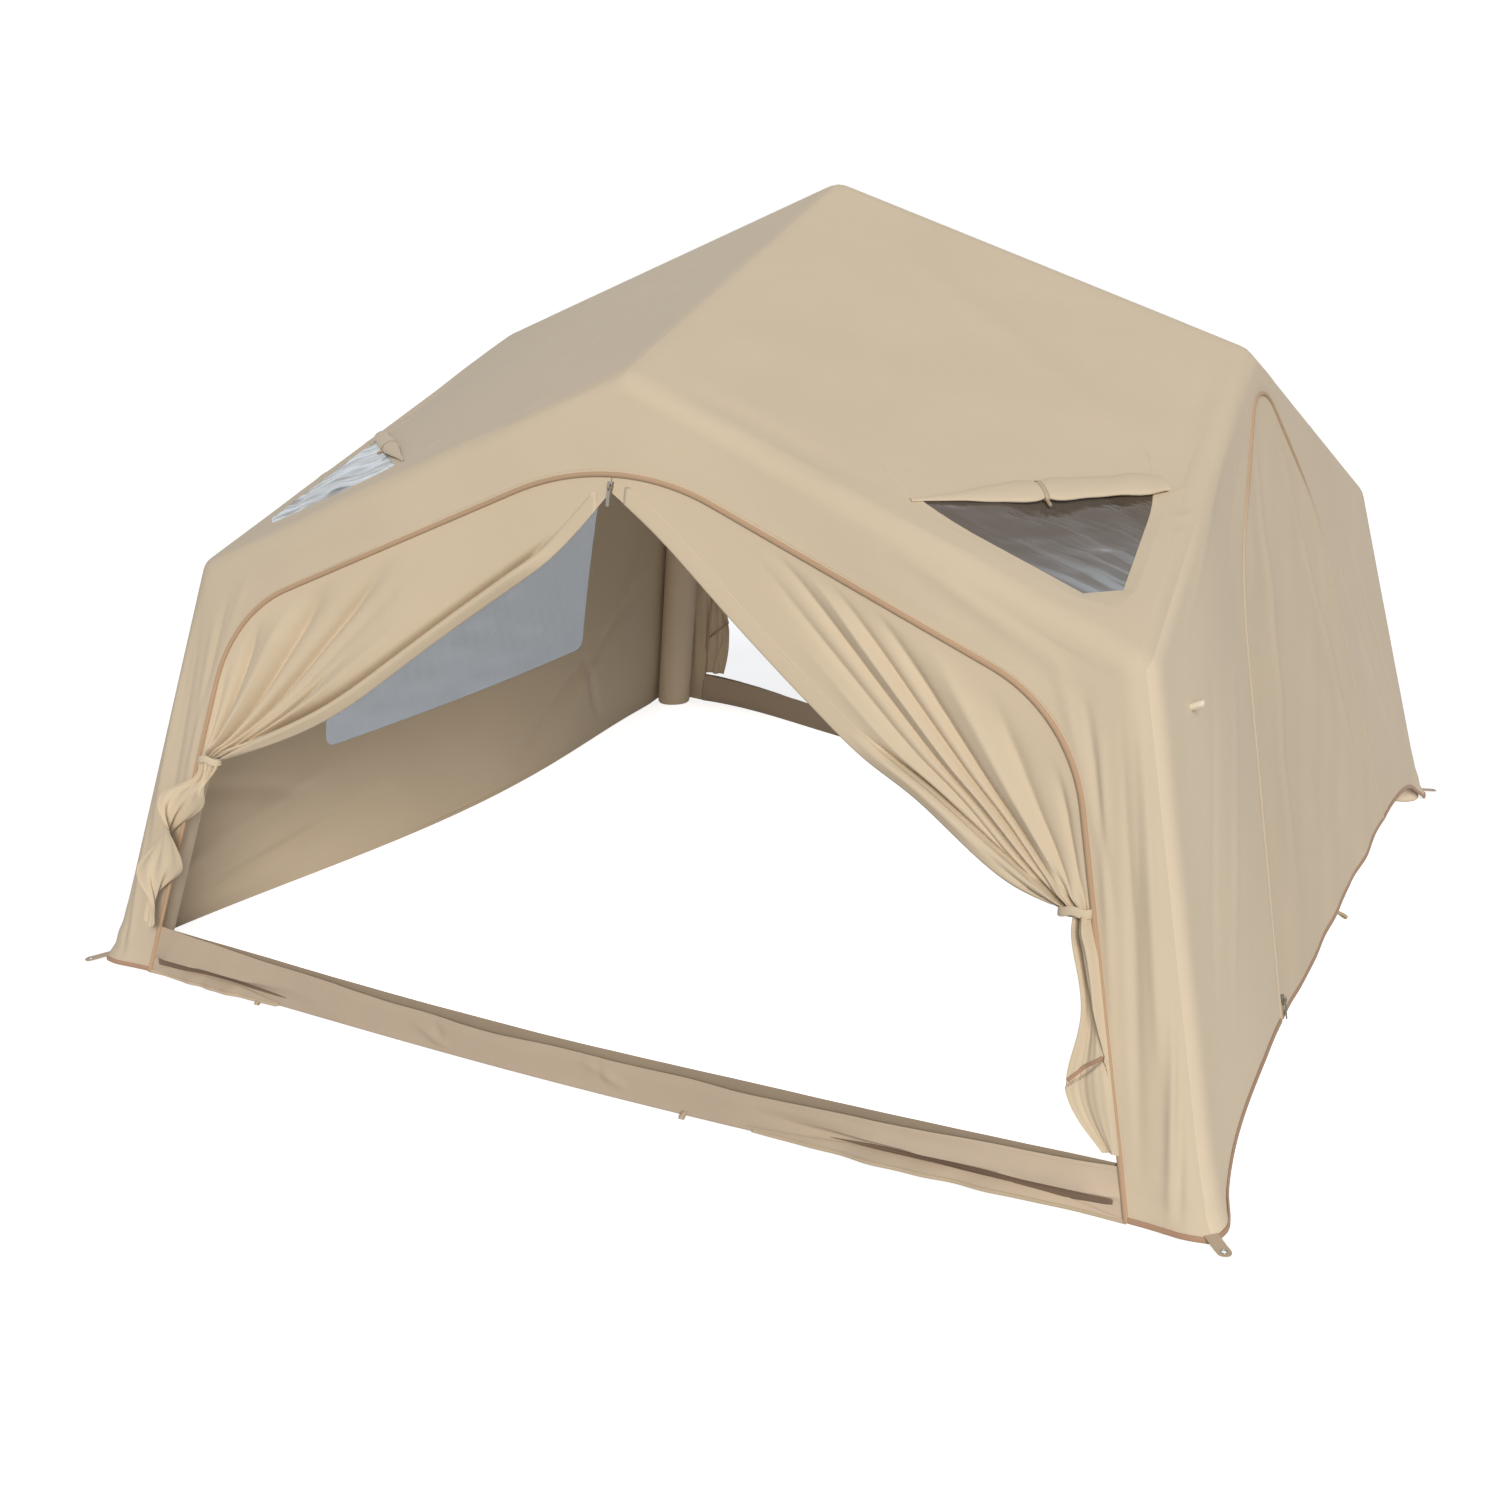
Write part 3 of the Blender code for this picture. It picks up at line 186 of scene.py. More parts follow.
# The right door's piping fades to a paler tone below about 1.1 m.
pale_low_piping = woven("pale_low_piping_cloth", (0.490, 0.340, 0.215), mottling=0.12, softness=0.1,
                    faded=("Z", 1.10, 1.30, (0.56, 0.46, 0.335)))
pale_webbing = woven("pale_webbing_cloth", (0.78, 0.70, 0.56), mottling=0.05, softness=0.1)
sill_cloth = woven("sill_cloth", (0.480, 0.378, 0.277), mottling=0.08,
                   faded=("X", 1.30, 0.45, (0.590, 0.470, 0.345)))
# A darker finish for the front sill's inner layer: painted shade inside the U of the fold.
sill_inner_shade = woven("sill_inner_painted_shade", (0.330, 0.255, 0.175), mottling=0.08)
# Dark brown for strips laid in the folds under the sill's ends: painted shadow.
fold_shadow_finish = woven("painted_fold_shadow", (0.185, 0.120, 0.080), mottling=0.08)
tape_cloth = woven("tape_cloth", (0.420, 0.255, 0.165), mottling=0.12, softness=0.1)
thread_finish = woven("sewing_thread", (0.66, 0.55, 0.40), mottling=0.03, softness=0.0)
print("cloth finishes", [m.name for m in (canvas, curtain_cloth, sleeve_cloth, piping_cloth, webbing_cloth)])

# %% [markdown]
# ## Clear film, metal and plastic
# The windows are thin clear film: glossy, partly see-through, and creased from being rolled.
# The larger creases are real waves in the mesh. The finish adds a tint, a low roughness with
# a little haze that varies, and pale streaks of painted reflection in its colour, where the film
# would mirror the sky at a low angle.
# %% Film, metal and plastic finishes
def filmy(name, tint, glare, clearness, low_end=None):
    """Clear film: partly see-through, glossy and streaked, and pale with painted sky reflection at a low
    angle.

    The low end is a pair of distances up the sheet, between which a little painted sky reflection shows from
    any side.
    """
    made, tree, shader = new_finish(name, tint, 0.08)
    spot = tree.nodes.new("ShaderNodeTexCoord")
    haze = add_node(tree, "ShaderNodeTexNoise", Vector=spot.outputs["Object"], Scale=5.0, Detail=3.0)
    tree.links.new(ranged(tree, haze.outputs["Fac"], first=0.05, last=0.22), shader.inputs["Roughness"])
    low_angle = add_node(tree, "ShaderNodeLayerWeight", Blend=0.5)
    sky = ranged(tree, low_angle.outputs["Facing"], 0.58, 0.82)
    streaks = add_node(tree, "ShaderNodeMapping", {"vector_type": "TEXTURE"}, Vector=spot.outputs["UV"],
                       Scale=(0.62, 0.045, 1.0), Rotation=(0.0, 0.0, -0.78))
    pattern = add_node(tree, "ShaderNodeTexNoise", Vector=streaks.outputs["Vector"], Scale=1.6, Detail=3.0,
                       Distortion=0.5)
    if low_end:
        place = add_node(tree, "ShaderNodeSeparateXYZ", Vector=spot.outputs["UV"])
        near_end = ranged(tree, place.outputs["Y"], *low_end, first=0.30, last=0.0)
        sky = worked_out(tree, "MAXIMUM", sky, near_end)
    bright = ranged(tree, pattern.outputs["Fac"], 0.44, 0.58)
    shown = worked_out(tree, "MULTIPLY", worked_out(tree, "MULTIPLY_ADD", bright, 0.70, 0.30), sky)
    tree.links.new(mixed(tree, shown, (*tint, 1), (*glare, 1)), shader.inputs["Base Color"])
    bent = add_node(tree, "ShaderNodeBump", Height=pattern.outputs["Fac"], Strength=0.4, Distance=0.01)
    tree.links.new(bent.outputs["Normal"], shader.inputs["Normal"])
    shader.inputs["Alpha"].default_value = 1 - clearness
    return made


def brushed(name, colour, roughness, metallic, grain):
    """Metal or moulded plastic with a fine grain in its roughness and surface."""
    made, tree, shader = new_finish(name, colour, roughness, metallic)
    spot = tree.nodes.new("ShaderNodeTexCoord")
    speckle = add_node(tree, "ShaderNodeTexNoise", Vector=spot.outputs["Object"], Scale=grain, Detail=3.0)
    tree.links.new(ranged(tree, speckle.outputs["Fac"], first=roughness - 0.1, last=roughness + 0.12),
                   shader.inputs["Roughness"])
    lifted = add_node(tree, "ShaderNodeBump", Height=speckle.outputs["Fac"], Strength=0.2, Distance=0.0002)
    tree.links.new(lifted.outputs["Normal"], shader.inputs["Normal"])
    return made


roof_film = filmy("roof_film", (0.110, 0.083, 0.062), (0.76, 0.90, 1.00), 0.12, low_end=(-1.76, -1.58))
side_film = filmy("side_film", (0.33, 0.42, 0.53), (0.46, 0.58, 0.66), 0.44)
zip_metal = brushed("zip_metal_brushed", (0.34, 0.32, 0.29), 0.35, 1.0, 900)
valve_plastic = brushed("valve_plastic_moulded", (0.05, 0.05, 0.05), 0.45, 0.0, 1500)
toggle_finish = brushed("toggle_wood", (0.40, 0.29, 0.18), 0.55, 0.0, 400)
metal_nodes = [f"{side}_zip_{part}" for side in ("front", "back", "right") for part in ("slider", "pull")]
for finish, nodes in ((zip_metal, metal_nodes), (valve_plastic, ["inflation_valve", "valve_cap"])):
    for node in nodes:
        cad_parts[node].data.materials.clear()
        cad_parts[node].data.materials.append(finish)
    print(finish.name, "on", nodes)

# %% [markdown]
# ## Surfaces from grids
# Each new piece is a grid of places: rows and columns of points that a formula gives for
# the whole array at once. One helper turns such a grid into a mesh with a UV map in metres,
# faces it outwards, gives a sheet its thickness, and sets it to ride on the tent.
# %% Grid to piece
SHEET, FILM, COVER_SHEET, TAB_SHEET = 0.0012, 0.0006, 0.0008, 0.0018
WELD = 0.00001
RIM_ANGLE = math.radians(50)


def quads_of(rows, columns, round_columns=False):
    """Corner numbers of every quad of a grid, row by row; the last column may join the first."""
    number = np.arange(rows * columns).reshape(rows, columns)
    after = np.roll(number, -1, axis=1) if round_columns else number[:, 1:]
    before = number if round_columns else number[:, :-1]
    return np.stack([before[:-1], after[:-1], after[1:], before[1:]], axis=-1).reshape(-1, 4)


def face_along(places, quads, outward):
    """The quads, turned over if their summed normal points against a direction."""
    a, b, c, d = (places[quads[:, i]] for i in range(4))
    total = np.cross(c - a, d - b).sum(axis=0)
    return quads[:, ::-1] if total @ np.asarray(outward) < 0 else quads


def new_piece(name, places, quads, finish, stands_for=(), uv=None, thickness=0.0, weld=False,
              ends=(), outward_faces=False):
    """Mesh object from places and quads, riding on the tent and standing for CAD nodes."""
    mesh = bpy.data.meshes.new(name)
    mesh.from_pydata(places.tolist(), [], quads.tolist() + list(ends))
    if uv is not None:
        layer = mesh.uv_layers.new(name="cloth")
        corner = np.concatenate([quads.reshape(-1), *ends]).astype(int)
        layer.data.foreach_set("uv", uv[corner].astype(np.float32).ravel())
    if weld or outward_faces:
        form = bmesh.new()
        form.from_mesh(mesh)
        if weld:
            bmesh.ops.remove_doubles(form, verts=form.verts, dist=WELD)
            bmesh.ops.dissolve_degenerate(form, edges=form.edges, dist=WELD)
        bmesh.ops.recalc_face_normals(form, faces=form.faces)
        form.to_mesh(mesh)
        form.free()
    mesh.shade_smooth()
    mesh.materials.append(finish)
    piece = bpy.data.objects.new(name, mesh)
    bpy.context.scene.collection.objects.link(piece)
    if thickness:
        shell = piece.modifiers.new("thickness", "SOLIDIFY")
        shell.thickness = thickness
        shell.offset = -1
        graph = bpy.context.evaluated_depsgraph_get()
        piece.data = bpy.data.meshes.new_from_object(piece.evaluated_get(graph))
        piece.modifiers.clear()
        piece.data.set_sharp_from_angle(angle=RIM_ANGLE)
    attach(piece, "tent")
    if stands_for:
        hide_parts(*stands_for)
    return piece


def sheet_piece(name, places, plan, outward, finish, stands_for=(), thickness=SHEET, weld=False,
                joined=False):
    """A sheet from a grid of places and its flat pattern; joined columns close it to a ring."""
    loose = places.reshape(-1, 3)
    quads = face_along(loose, quads_of(*places.shape[:2], joined), outward)
    return new_piece(name, loose, quads, finish, stands_for, plan.reshape(-1, 2), thickness, weld)


# %% Measures of a grid
def quad_areas(grid):
    """Area of every quad of a grid of places, from the cross product of its diagonals."""
    one, other = grid[1:, 1:] - grid[:-1, :-1], grid[1:, :-1] - grid[:-1, 1:]
    if grid.shape[-1] == 2:
        return np.abs(one[..., 0] * other[..., 1] - one[..., 1] * other[..., 0]) / 2
    return np.linalg.norm(np.cross(one, other), axis=-1) / 2


def grid_of(*values):
    """Values of one common shape, put together as the last axis of a grid."""
    return np.stack(np.broadcast_arrays(*values), axis=-1)


def straight_rows(half, up, columns):
    """Pattern whose rows are straight: each runs from minus to plus its half width at its level."""
    return grid_of(half[:, None] * np.linspace(-1, 1, columns), up[:, None])


def steps_along(places, axis=0):
    """Distance from each place of a line or grid to the next one along an axis."""
    return np.linalg.norm(np.diff(places, axis=axis), axis=-1)


def running(steps):
    """Distance from the start, worked out from the steps between places."""
    return np.concatenate([[0], np.cumsum(steps)])


def unit(vectors):
    """Vectors of length 1 in the same directions: each is divided by its length."""
    return vectors / np.linalg.norm(vectors, axis=-1, keepdims=True)


def smooth(value):
    """0 below 0, 1 above 1, and an even S curve between: three squares less two cubes."""
    share = np.clip(value, 0, 1)
    return share * share * (3 - 2 * share)


def bell(value, centre, width):
    """1 at a centre and falling to 0 on both sides, as a bell curve of a width."""
    return np.exp(-((value - centre) / width) ** 2)


def soft_tip(value, centre, width, bluntness, steepness):
    """Highest at a centre and falling evenly on both sides, with a blunt tip: a rounded ridge."""
    return np.exp(-np.sqrt(((value - centre) / width) ** 2 + bluntness) * steepness)


# %% [markdown]
# ## The eight planes
# Four leaning walls and four kite-shaped roof panels meet along the beams. Each plane gets a
# frame of its own, with one axis across, one up the slope and one outward, so every outline
# can be drawn flat, as the cloth is cut, and then put in its place.
# %% Driving sizes and frames of the planes
BASE_HALF, SHOULDER_HALF, SHOULDER_HEIGHT, APEX_HEIGHT = 1.5, 1.257, 1.06, 2.0
CLOTH, GAP, BEAM_RADIUS, HEM_LIFT = 0.003, 0.0003, 0.065, 0.004
WALL_LEAN = (BASE_HALF - SHOULDER_HALF) / SHOULDER_HEIGHT
ROOF_PITCH = (APEX_HEIGHT - SHOULDER_HEIGHT) / (2 * SHOULDER_HALF)
WALL_STRETCH = math.hypot(1, WALL_LEAN)
ROOF_STRETCH = math.hypot(1, ROOF_PITCH, ROOF_PITCH)
BEAM_INSET = CLOTH + GAP + BEAM_RADIUS
SIDES = {"front": 0.0, "right": math.pi / 2, "back": math.pi, "left": 3 * math.pi / 2}
CORNERS = {"front_left": (-1, -1), "front_right": (1, -1), "back_right": (1, 1), "back_left": (-1, 1)}


def turned(vectors, angle):
    """Vectors turned about the vertical."""
    c, s = math.cos(angle), math.sin(angle)
    return np.asarray(vectors, float) @ np.array([[c, s, 0], [-s, c, 0], [0, 0, 1]])


def wall_frame(side):
    """(origin, across, up, out) of a wall: its foot line's middle and three directions."""
    up = np.array([0, WALL_LEAN, 1]) / WALL_STRETCH
    out = np.array([0, -1, WALL_LEAN]) / WALL_STRETCH
    return [turned(v, SIDES[side]) for v in ((0, -BASE_HALF, 0), (1, 0, 0), up, out)]


def roof_frame(corner):
    """(origin, across, up, out) of a roof panel: the apex and three directions."""
    sx, sy = CORNERS[corner]
    angle = math.atan2(sy, sx) + math.pi / 2
    tilt = math.atan(ROOF_PITCH * math.sqrt(2))
    up = (0, math.cos(tilt), math.sin(tilt))
    out = (0, -math.sin(tilt), math.cos(tilt))
    return [np.array([0, 0, APEX_HEIGHT])] + [turned(v, angle) for v in ((1, 0, 0), up, out)]


def put(place_frame, across, up, out):
    """World places of (across, up, out) in a plane's frame."""
    origin, x, y, z = place_frame
    across, up, out = np.broadcast_arrays(across, up, out)
    return origin + across[..., None] * x + up[..., None] * y + out[..., None] * z


def laid(place_frame, grid):
    """World places of a grid of (across, up, out)."""
    return put(place_frame, grid[..., 0], grid[..., 1], grid[..., 2])


def flat(place_frame, points):
    """(across, up) of world places in a plane's frame."""
    away = np.asarray(points, float) - place_frame[0]
    return grid_of(away @ place_frame[1], away @ place_frame[2])


def solid_corners(inset):
    """Foot, shoulder, peak and apex, as (half, height), of the solid drawn in by a distance."""
    base = BASE_HALF - inset * WALL_STRETCH
    top = APEX_HEIGHT - inset * ROOF_STRETCH
    shoulder = (top - 2 * ROOF_PITCH * base) / (1 - 2 * ROOF_PITCH * WALL_LEAN)
    peak = (top - ROOF_PITCH * base) / (1 - ROOF_PITCH * WALL_LEAN)
    return {"foot": (base, 0.0), "shoulder": (base - WALL_LEAN * shoulder, shoulder),
            "peak": (base - WALL_LEAN * peak, peak), "apex": (0.0, top)}


def hands_of(side):
    """The two sides next to a side, in the order of its names."""
    return ("left", "right") if side in ("front", "back") else ("front", "back")


def corner_of(side, hand):
    """Name of the corner between two sides: front or back comes first."""
    return f"{side}_{hand}" if side in ("front", "back") else f"{hand}_{side}"


def named_points(inset):
    """World places of every corner of the solid drawn in by a distance, by name."""
    sizes = solid_corners(inset)
    points = {"apex": np.array([0, 0, sizes["apex"][1]])}
    for corner, (sx, sy) in CORNERS.items():
        for level_name in ("foot", "shoulder"):
            half, height = sizes[level_name]
            points[f"{level_name}_{corner}"] = np.array([sx * half, sy * half, height])
    half, height = sizes["peak"]
    for side, angle in SIDES.items():
        points[f"peak_{side}"] = turned((0, -half, height), angle)
    return points


SHARP = named_points(0.0)
JOINTS = named_points(BEAM_INSET)
print("shoulder", np.round(SHARP["shoulder_front_right"], 3), "peak", np.round(SHARP["peak_front"], 3))

# %% [markdown]
# ## Cloth over the beams
# Between the beams the skin is flat, and over a beam it bends round the tube. One formula
# does both: a place on the flat pattern looks for the nearest place on the frame's inner
# outline, and the cloth lies one beam radius from there, towards the place it came from.
# Two neighbours then meet exactly on the crest of the beam between them.
# %% Rolling over the beams
SLEEVE_CLEAR = 0.0016


def near_segment(places, start, end):
    """Share of a segment's length at each place's nearest point of it, and the distance to that."""
    run = end - start
    share = np.clip(((places - start) @ run) / (run @ run), 0, 1)
    return share, np.linalg.norm(places - start - share[..., None] * run, axis=-1)


def nearest_inside(places, outline):
    """Nearest place of a convex outline, or of its inside, to each place; and the distance inside it."""
    best, least = places.copy(), np.full(places.shape[:-1], np.inf)
    inside = np.ones(places.shape[:-1], bool)
    for start, end in zip(outline, np.roll(outline, -1, axis=0)):
        run, away = end - start, places - start
        inside &= run[0] * away[..., 1] - run[1] * away[..., 0] >= 0
        share, gap = near_segment(places, start, end)
        best = np.where((gap < least)[..., None], start + share[..., None] * run, best)
        least = np.minimum(gap, least)
    return np.where(inside[..., None], places, best), np.where(inside, least, 0.0)


def over_beams(place_frame, plan, outline, relief=0.0):
    """World places of a flat pattern laid over its beams, lifted by a relief along the cloth's normal."""
    near, inside = nearest_inside(plan, outline)
    clear = BEAM_RADIUS - np.sqrt(np.clip(BEAM_RADIUS ** 2 - inside ** 2, 0, None))
    relief = np.maximum(relief, -SLEEVE_CLEAR - clear)
    deep = np.full((*plan.shape[:-1], 1), BEAM_INSET)
    way = unit(np.concatenate([plan - near, deep], axis=-1))
    return laid(place_frame, np.concatenate([near, -deep], axis=-1) + way * (BEAM_INSET + relief)[..., None])


def soft_waves(plan, seed, height, shortest=0.28, longest=1.1, count=7):
    """Gentle unevenness: a sum of sine waves in different directions, the shorter the lower."""
    draw = np.random.default_rng(seed)
    total = np.zeros(plan.shape[:-1])
    for length in np.geomspace(shortest, longest, count):
        angle, phase = draw.uniform(0, 2 * math.pi, 2)
        along = plan[..., 0] * math.cos(angle) + plan[..., 1] * math.sin(angle)
        total += np.sin(2 * math.pi * along / length + phase) * (length / longest) ** 0.7
    return total * height / count


def crease(plan, start, end, width, height):
    """One crease: a ridge of a bell-shaped section along a line, fading towards both ends."""
    share, gap = near_segment(plan, np.asarray(start, float), np.asarray(end, float))
    return height * np.sin(share * math.pi) ** 0.8 * bell(gap, 0, width)


def creases(plan, rows, hand=1):
    """Sum of the creases in a table of (start, end, width, height); hand -1 mirrors them."""
    return sum(crease(plan * np.array([hand, 1]), *row) for row in rows)


# %% [markdown]
# ## Outlines
# The arches and windows are cut as straight lines with rounded corners. An arc is worked
# out from its two neighbours' directions and its radius, and a long outline is spread into
# evenly spaced places so that two outlines can be joined row by row.
# %% Outline helpers
LEG_COUNT, EAVE_COUNT, RIDGE_COUNT = 72, 72, 60


def spread(line, count):
    """Places evenly spaced along a line of points, by length."""
    line = np.asarray(line, float)
    marks = running(steps_along(line))
    wanted = np.linspace(0, marks[-1], count)
    return np.stack([np.interp(wanted, marks, line[:, axis]) for axis in range(line.shape[1])], axis=1)


def arc(before, corner, after, radius, count=24):
    """Arc of a radius that rounds a corner, from the side of before to the side of after."""
    before, corner, after = (np.asarray(p, float) for p in (before, corner, after))
    one = (before - corner) / np.linalg.norm(before - corner)
    other = (after - corner) / np.linalg.norm(after - corner)
    half = math.acos(one @ other) / 2
    centre = corner + (one + other) / np.linalg.norm(one + other) * radius / math.sin(half)
    start, end = (corner + way * radius / math.tan(half) - centre for way in (one, other))
    sweep = math.acos(start @ end / radius ** 2)
    share = np.linspace(0, 1, count)[:, None]
    return centre + (start * np.sin((1 - share) * sweep) + end * np.sin(share * sweep)) / math.sin(sweep)


def meet(one, other):
    """Point where the line through two points crosses the line through two others."""
    run, way = one[1] - one[0], other[1] - other[0]
    gap = other[0] - one[0]
    share = (gap[0] * way[1] - gap[1] * way[0]) / (run[0] * way[1] - run[1] * way[0])
    return one[0] + run * share


def drawn_in(start, end, distance):
    """The line through two points, moved to its left by a distance."""
    run = (end - start) / np.linalg.norm(end - start)
    side = np.array([-run[1], run[0]]) * distance
    return np.array([start + side, end + side])


def at_level(line, level_up):
    """Point of a straight line at a distance up the slope."""
    start, end = line
    return start + (end - start) * (level_up - start[1]) / (end[1] - start[1])


def mirrored(line):
    """The same line on the other side of the middle."""
    return line * np.array([-1, 1])


def over_the_top(half):
    """Whole outline from its right half: up from the hem, over the top and down on the left."""
    return np.concatenate([half, mirrored(half[::-1])[1:]])


def slant(height):
    """Distance up a wall's slope at a height above the floor."""
    return height * WALL_STRETCH


def rounded_half(low, corner, top, shoulder_radius, top_radius, count):
    """Arc at an arch's right shoulder, and its crown's arc up to the middle line."""
    crown = arc(corner, top, mirrored(corner), top_radius, count)
    crown = crown[crown[:, 0] > 0]
    return arc(low, corner, top, shoulder_radius), np.concatenate([crown, [[0.0, crown[-1, 1]]]])


# %% Outlines of walls and doorways
FRONT = wall_frame("front")
right_half = ("foot_front_right", "shoulder_front_right", "peak_front")
SHARP_FOOT, SHARP_SHOULDER, SHARP_PEAK = (flat(FRONT, SHARP[name]) for name in right_half)
INNER_FOOT, INNER_SHOULDER, INNER_PEAK = (flat(FRONT, JOINTS[name]) for name in right_half)
leg_line = np.array([SHARP_FOOT, SHARP_SHOULDER])
FLOOR_RUN = at_level([INNER_FOOT, INNER_SHOULDER], -0.5)
WALL_INNER = np.array([mirrored(FLOOR_RUN), FLOOR_RUN, INNER_SHOULDER, INNER_PEAK, mirrored(INNER_SHOULDER)])
wall_half = np.concatenate([
    spread([at_level(leg_line, HEM_LIFT), SHARP_SHOULDER], LEG_COUNT),
    spread([SHARP_SHOULDER, SHARP_PEAK], EAVE_COUNT)[1:]])
JAMB_MARGIN, GABLE_MARGIN, ARCH_SHOULDER_RADIUS, ARCH_TOP_RADIUS = 0.166, 0.152, 0.367, 0.68


def arch_parts(extra):
    """Right half of the doorway's arch: jamb, shoulder arc and gable, drawn in by a further distance."""
    jamb = drawn_in(SHARP_FOOT, SHARP_SHOULDER, JAMB_MARGIN + extra)
    gable = drawn_in(SHARP_SHOULDER, SHARP_PEAK, GABLE_MARGIN + extra)
    corner = meet(jamb, gable)
    top = meet(gable, np.array([[0.0, 0.0], [0.0, 1.0]]))
    hem = at_level(jamb, HEM_LIFT)
    return hem, *rounded_half(hem, corner, top, ARCH_SHOULDER_RADIUS - extra, ARCH_TOP_RADIUS - extra, 48)


def arch_half(extra):
    """Right half of the doorway's arch as one line: the hem's end, shoulder and crown."""
    hem, shoulder, crown = arch_parts(extra)
    return np.concatenate([[hem], shoulder, crown])


def split_half(half, corner_row):
    """A half outline spread in two runs, as a wall's edge is: leg up to a row, then eave."""
    leg, eave = spread(half[:corner_row + 1], LEG_COUNT), spread(half[corner_row:], EAVE_COUNT)
    return np.concatenate([leg, eave[1:]])


ARCH = arch_half(0.0)
arch_even = split_half(ARCH, 13)
print("arch", np.round([ARCH[0], ARCH[-1]], 3).tolist(), "half outline", arch_even.shape)

# %% [markdown]
# ## Walls round the doorways
# A wall with an arch is a band of cloth between two outlines: the arch inside and the wall's
# own edge outside. Joining them row by row gives a grid with no holes in it, and the same
# formula then lays it over the beams. Soft creases come from where the cloth is pulled.
# %% Band between two outlines
BAND_ROWS = 44


def band(inner, outer, rows=BAND_ROWS):
    """Grid of places on the straight lines between two outlines with equally many points."""
    share = np.linspace(0, 1, rows)[:, None, None]
    return inner[None] * (1 - share) + outer[None] * share


def edge_fade(rows, columns, inner_keep=0.0):
    """Lets a relief die out towards the seam, and towards the inner outline if wanted."""
    share = np.linspace(0, 1, rows)[:, None]
    outer = np.clip((1 - share) / 0.35, 0, 1)
    inner = np.clip(share / 0.25, inner_keep, 1)
    return np.broadcast_to(outer * outer * (3 - 2 * outer) * inner, (rows, columns))


# %% Front and back walls
CREASE_DEPTH = 1.6
WALL_CREASES = (
    ((1.165, 0.98), (1.300, 0.06), 0.011, 0.0050), ((1.215, 1.02), (1.345, 0.10), 0.014, -0.0045),
    ((1.250, 1.00), (1.360, 0.30), 0.012, 0.0040), ((1.060, 1.10), (1.190, 0.72), 0.010, 0.0035),
    ((1.120, 1.06), (1.235, 0.60), 0.009, -0.0040), ((0.700, 1.28), (1.100, 1.06), 0.020, 0.0030),
    ((1.372, 0.46), (1.412, 0.02), 0.010, 0.0050), ((1.396, 0.40), (1.432, 0.02), 0.008, -0.0045))


def wall_creases(plan):
    """Creases that run down from the shoulders beside the jambs, where the doors pull the cloth."""
    return CREASE_DEPTH * (creases(plan, WALL_CREASES) + creases(plan, WALL_CREASES, -1))


FOOT_FLARE, FLARE_REACH, FLARE_HEIGHT = 0.018, 0.11, 0.085


def foot_flare(plan):
    """Loose cloth round a foot: it stands out most just above the floor, on both walls alike."""
    reach = at_level(leg_line, plan[..., 1, None])[..., 0]
    beside = bell(np.abs(plan[..., 0]), reach, FLARE_REACH)
    level = np.clip(plan[..., 1], 0, None)
    return FOOT_FLARE * beside * np.exp(-(level / FLARE_HEIGHT) ** 1.5) * (1 + 0.25 * np.sin(level * 90))


front_band = band(over_the_top(arch_even), over_the_top(wall_half))
for side in ("front", "back"):
    relief = soft_waves(front_band, 11 if side == "front" else 12, 0.010) + wall_creases(front_band)
    places = over_beams(wall_frame(side), front_band, WALL_INNER,
                        relief * edge_fade(*front_band.shape[:2], 0.15) + foot_flare(front_band))
    made = sheet_piece(f"{side}_wall_cloth", places, front_band, wall_frame(side)[3],
                       shaded_canvas if side == "front" else canvas, [f"{side}_wall"])
    if side == "front":
        front_hem_ends = [places[:, 0], places[:, -1]]

# %% [markdown]
# ## Right wall and its closed door
# The right wall has a narrower arch with its door zipped shut, and a hem that is cut up in
# the middle. The hem's curve is a flat power curve: almost level, then dropping to the feet.
# %% Right wall
DOOR_BASE_HALF, DOOR_SHOULDER_HALF, DOOR_SHOULDER_HEIGHT, DOOR_APEX_HEIGHT = 0.80, 0.475, 1.10, 1.53
DOOR_SHOULDER_RADIUS, DOOR_TOP_RADIUS = 0.60, 0.18
RIGHT_HEM_RISE, HEM_SHARPNESS = 0.14, 8
HEM_REACH = flat(FRONT, JOINTS["foot_front_right"])[0]
HEM_ROWS = 14


def raised_hem(across):
    """Level of the right wall's hem: raised in the middle, dropping to the feet as an eighth power."""
    return HEM_LIFT + RIGHT_HEM_RISE * (1 - np.clip(np.abs(across / HEM_REACH), 0, 1) ** HEM_SHARPNESS)


def door_half(extra):
    """Right half of the right door's outline, from the raised hem to the top."""
    low = np.array([DOOR_BASE_HALF - extra, 0])
    corner = np.array([DOOR_SHOULDER_HALF - extra, slant(DOOR_SHOULDER_HEIGHT)])
    top = np.array([0, slant(DOOR_APEX_HEIGHT) - extra])
    hem = at_level([low, corner], raised_hem(DOOR_BASE_HALF))
    radii = DOOR_SHOULDER_RADIUS - extra, DOOR_TOP_RADIUS - extra
    return np.concatenate([[hem], *rounded_half(low, corner, top, *radii, 32)])


def lifted_hem(plan):
    """Moves a wall pattern's lowest rows of points up to the curved hem, less and less above it."""
    moved = plan.copy()
    for rank in range(HEM_ROWS):
        fade = (1 - rank / HEM_ROWS) ** 2
        for column in (rank, -1 - rank):
            place = plan[:, 0 if column == rank else -1]
            moved[:, column, 1] += (raised_hem(place[:, 0]) - place[:, 1]) * fade
    return moved


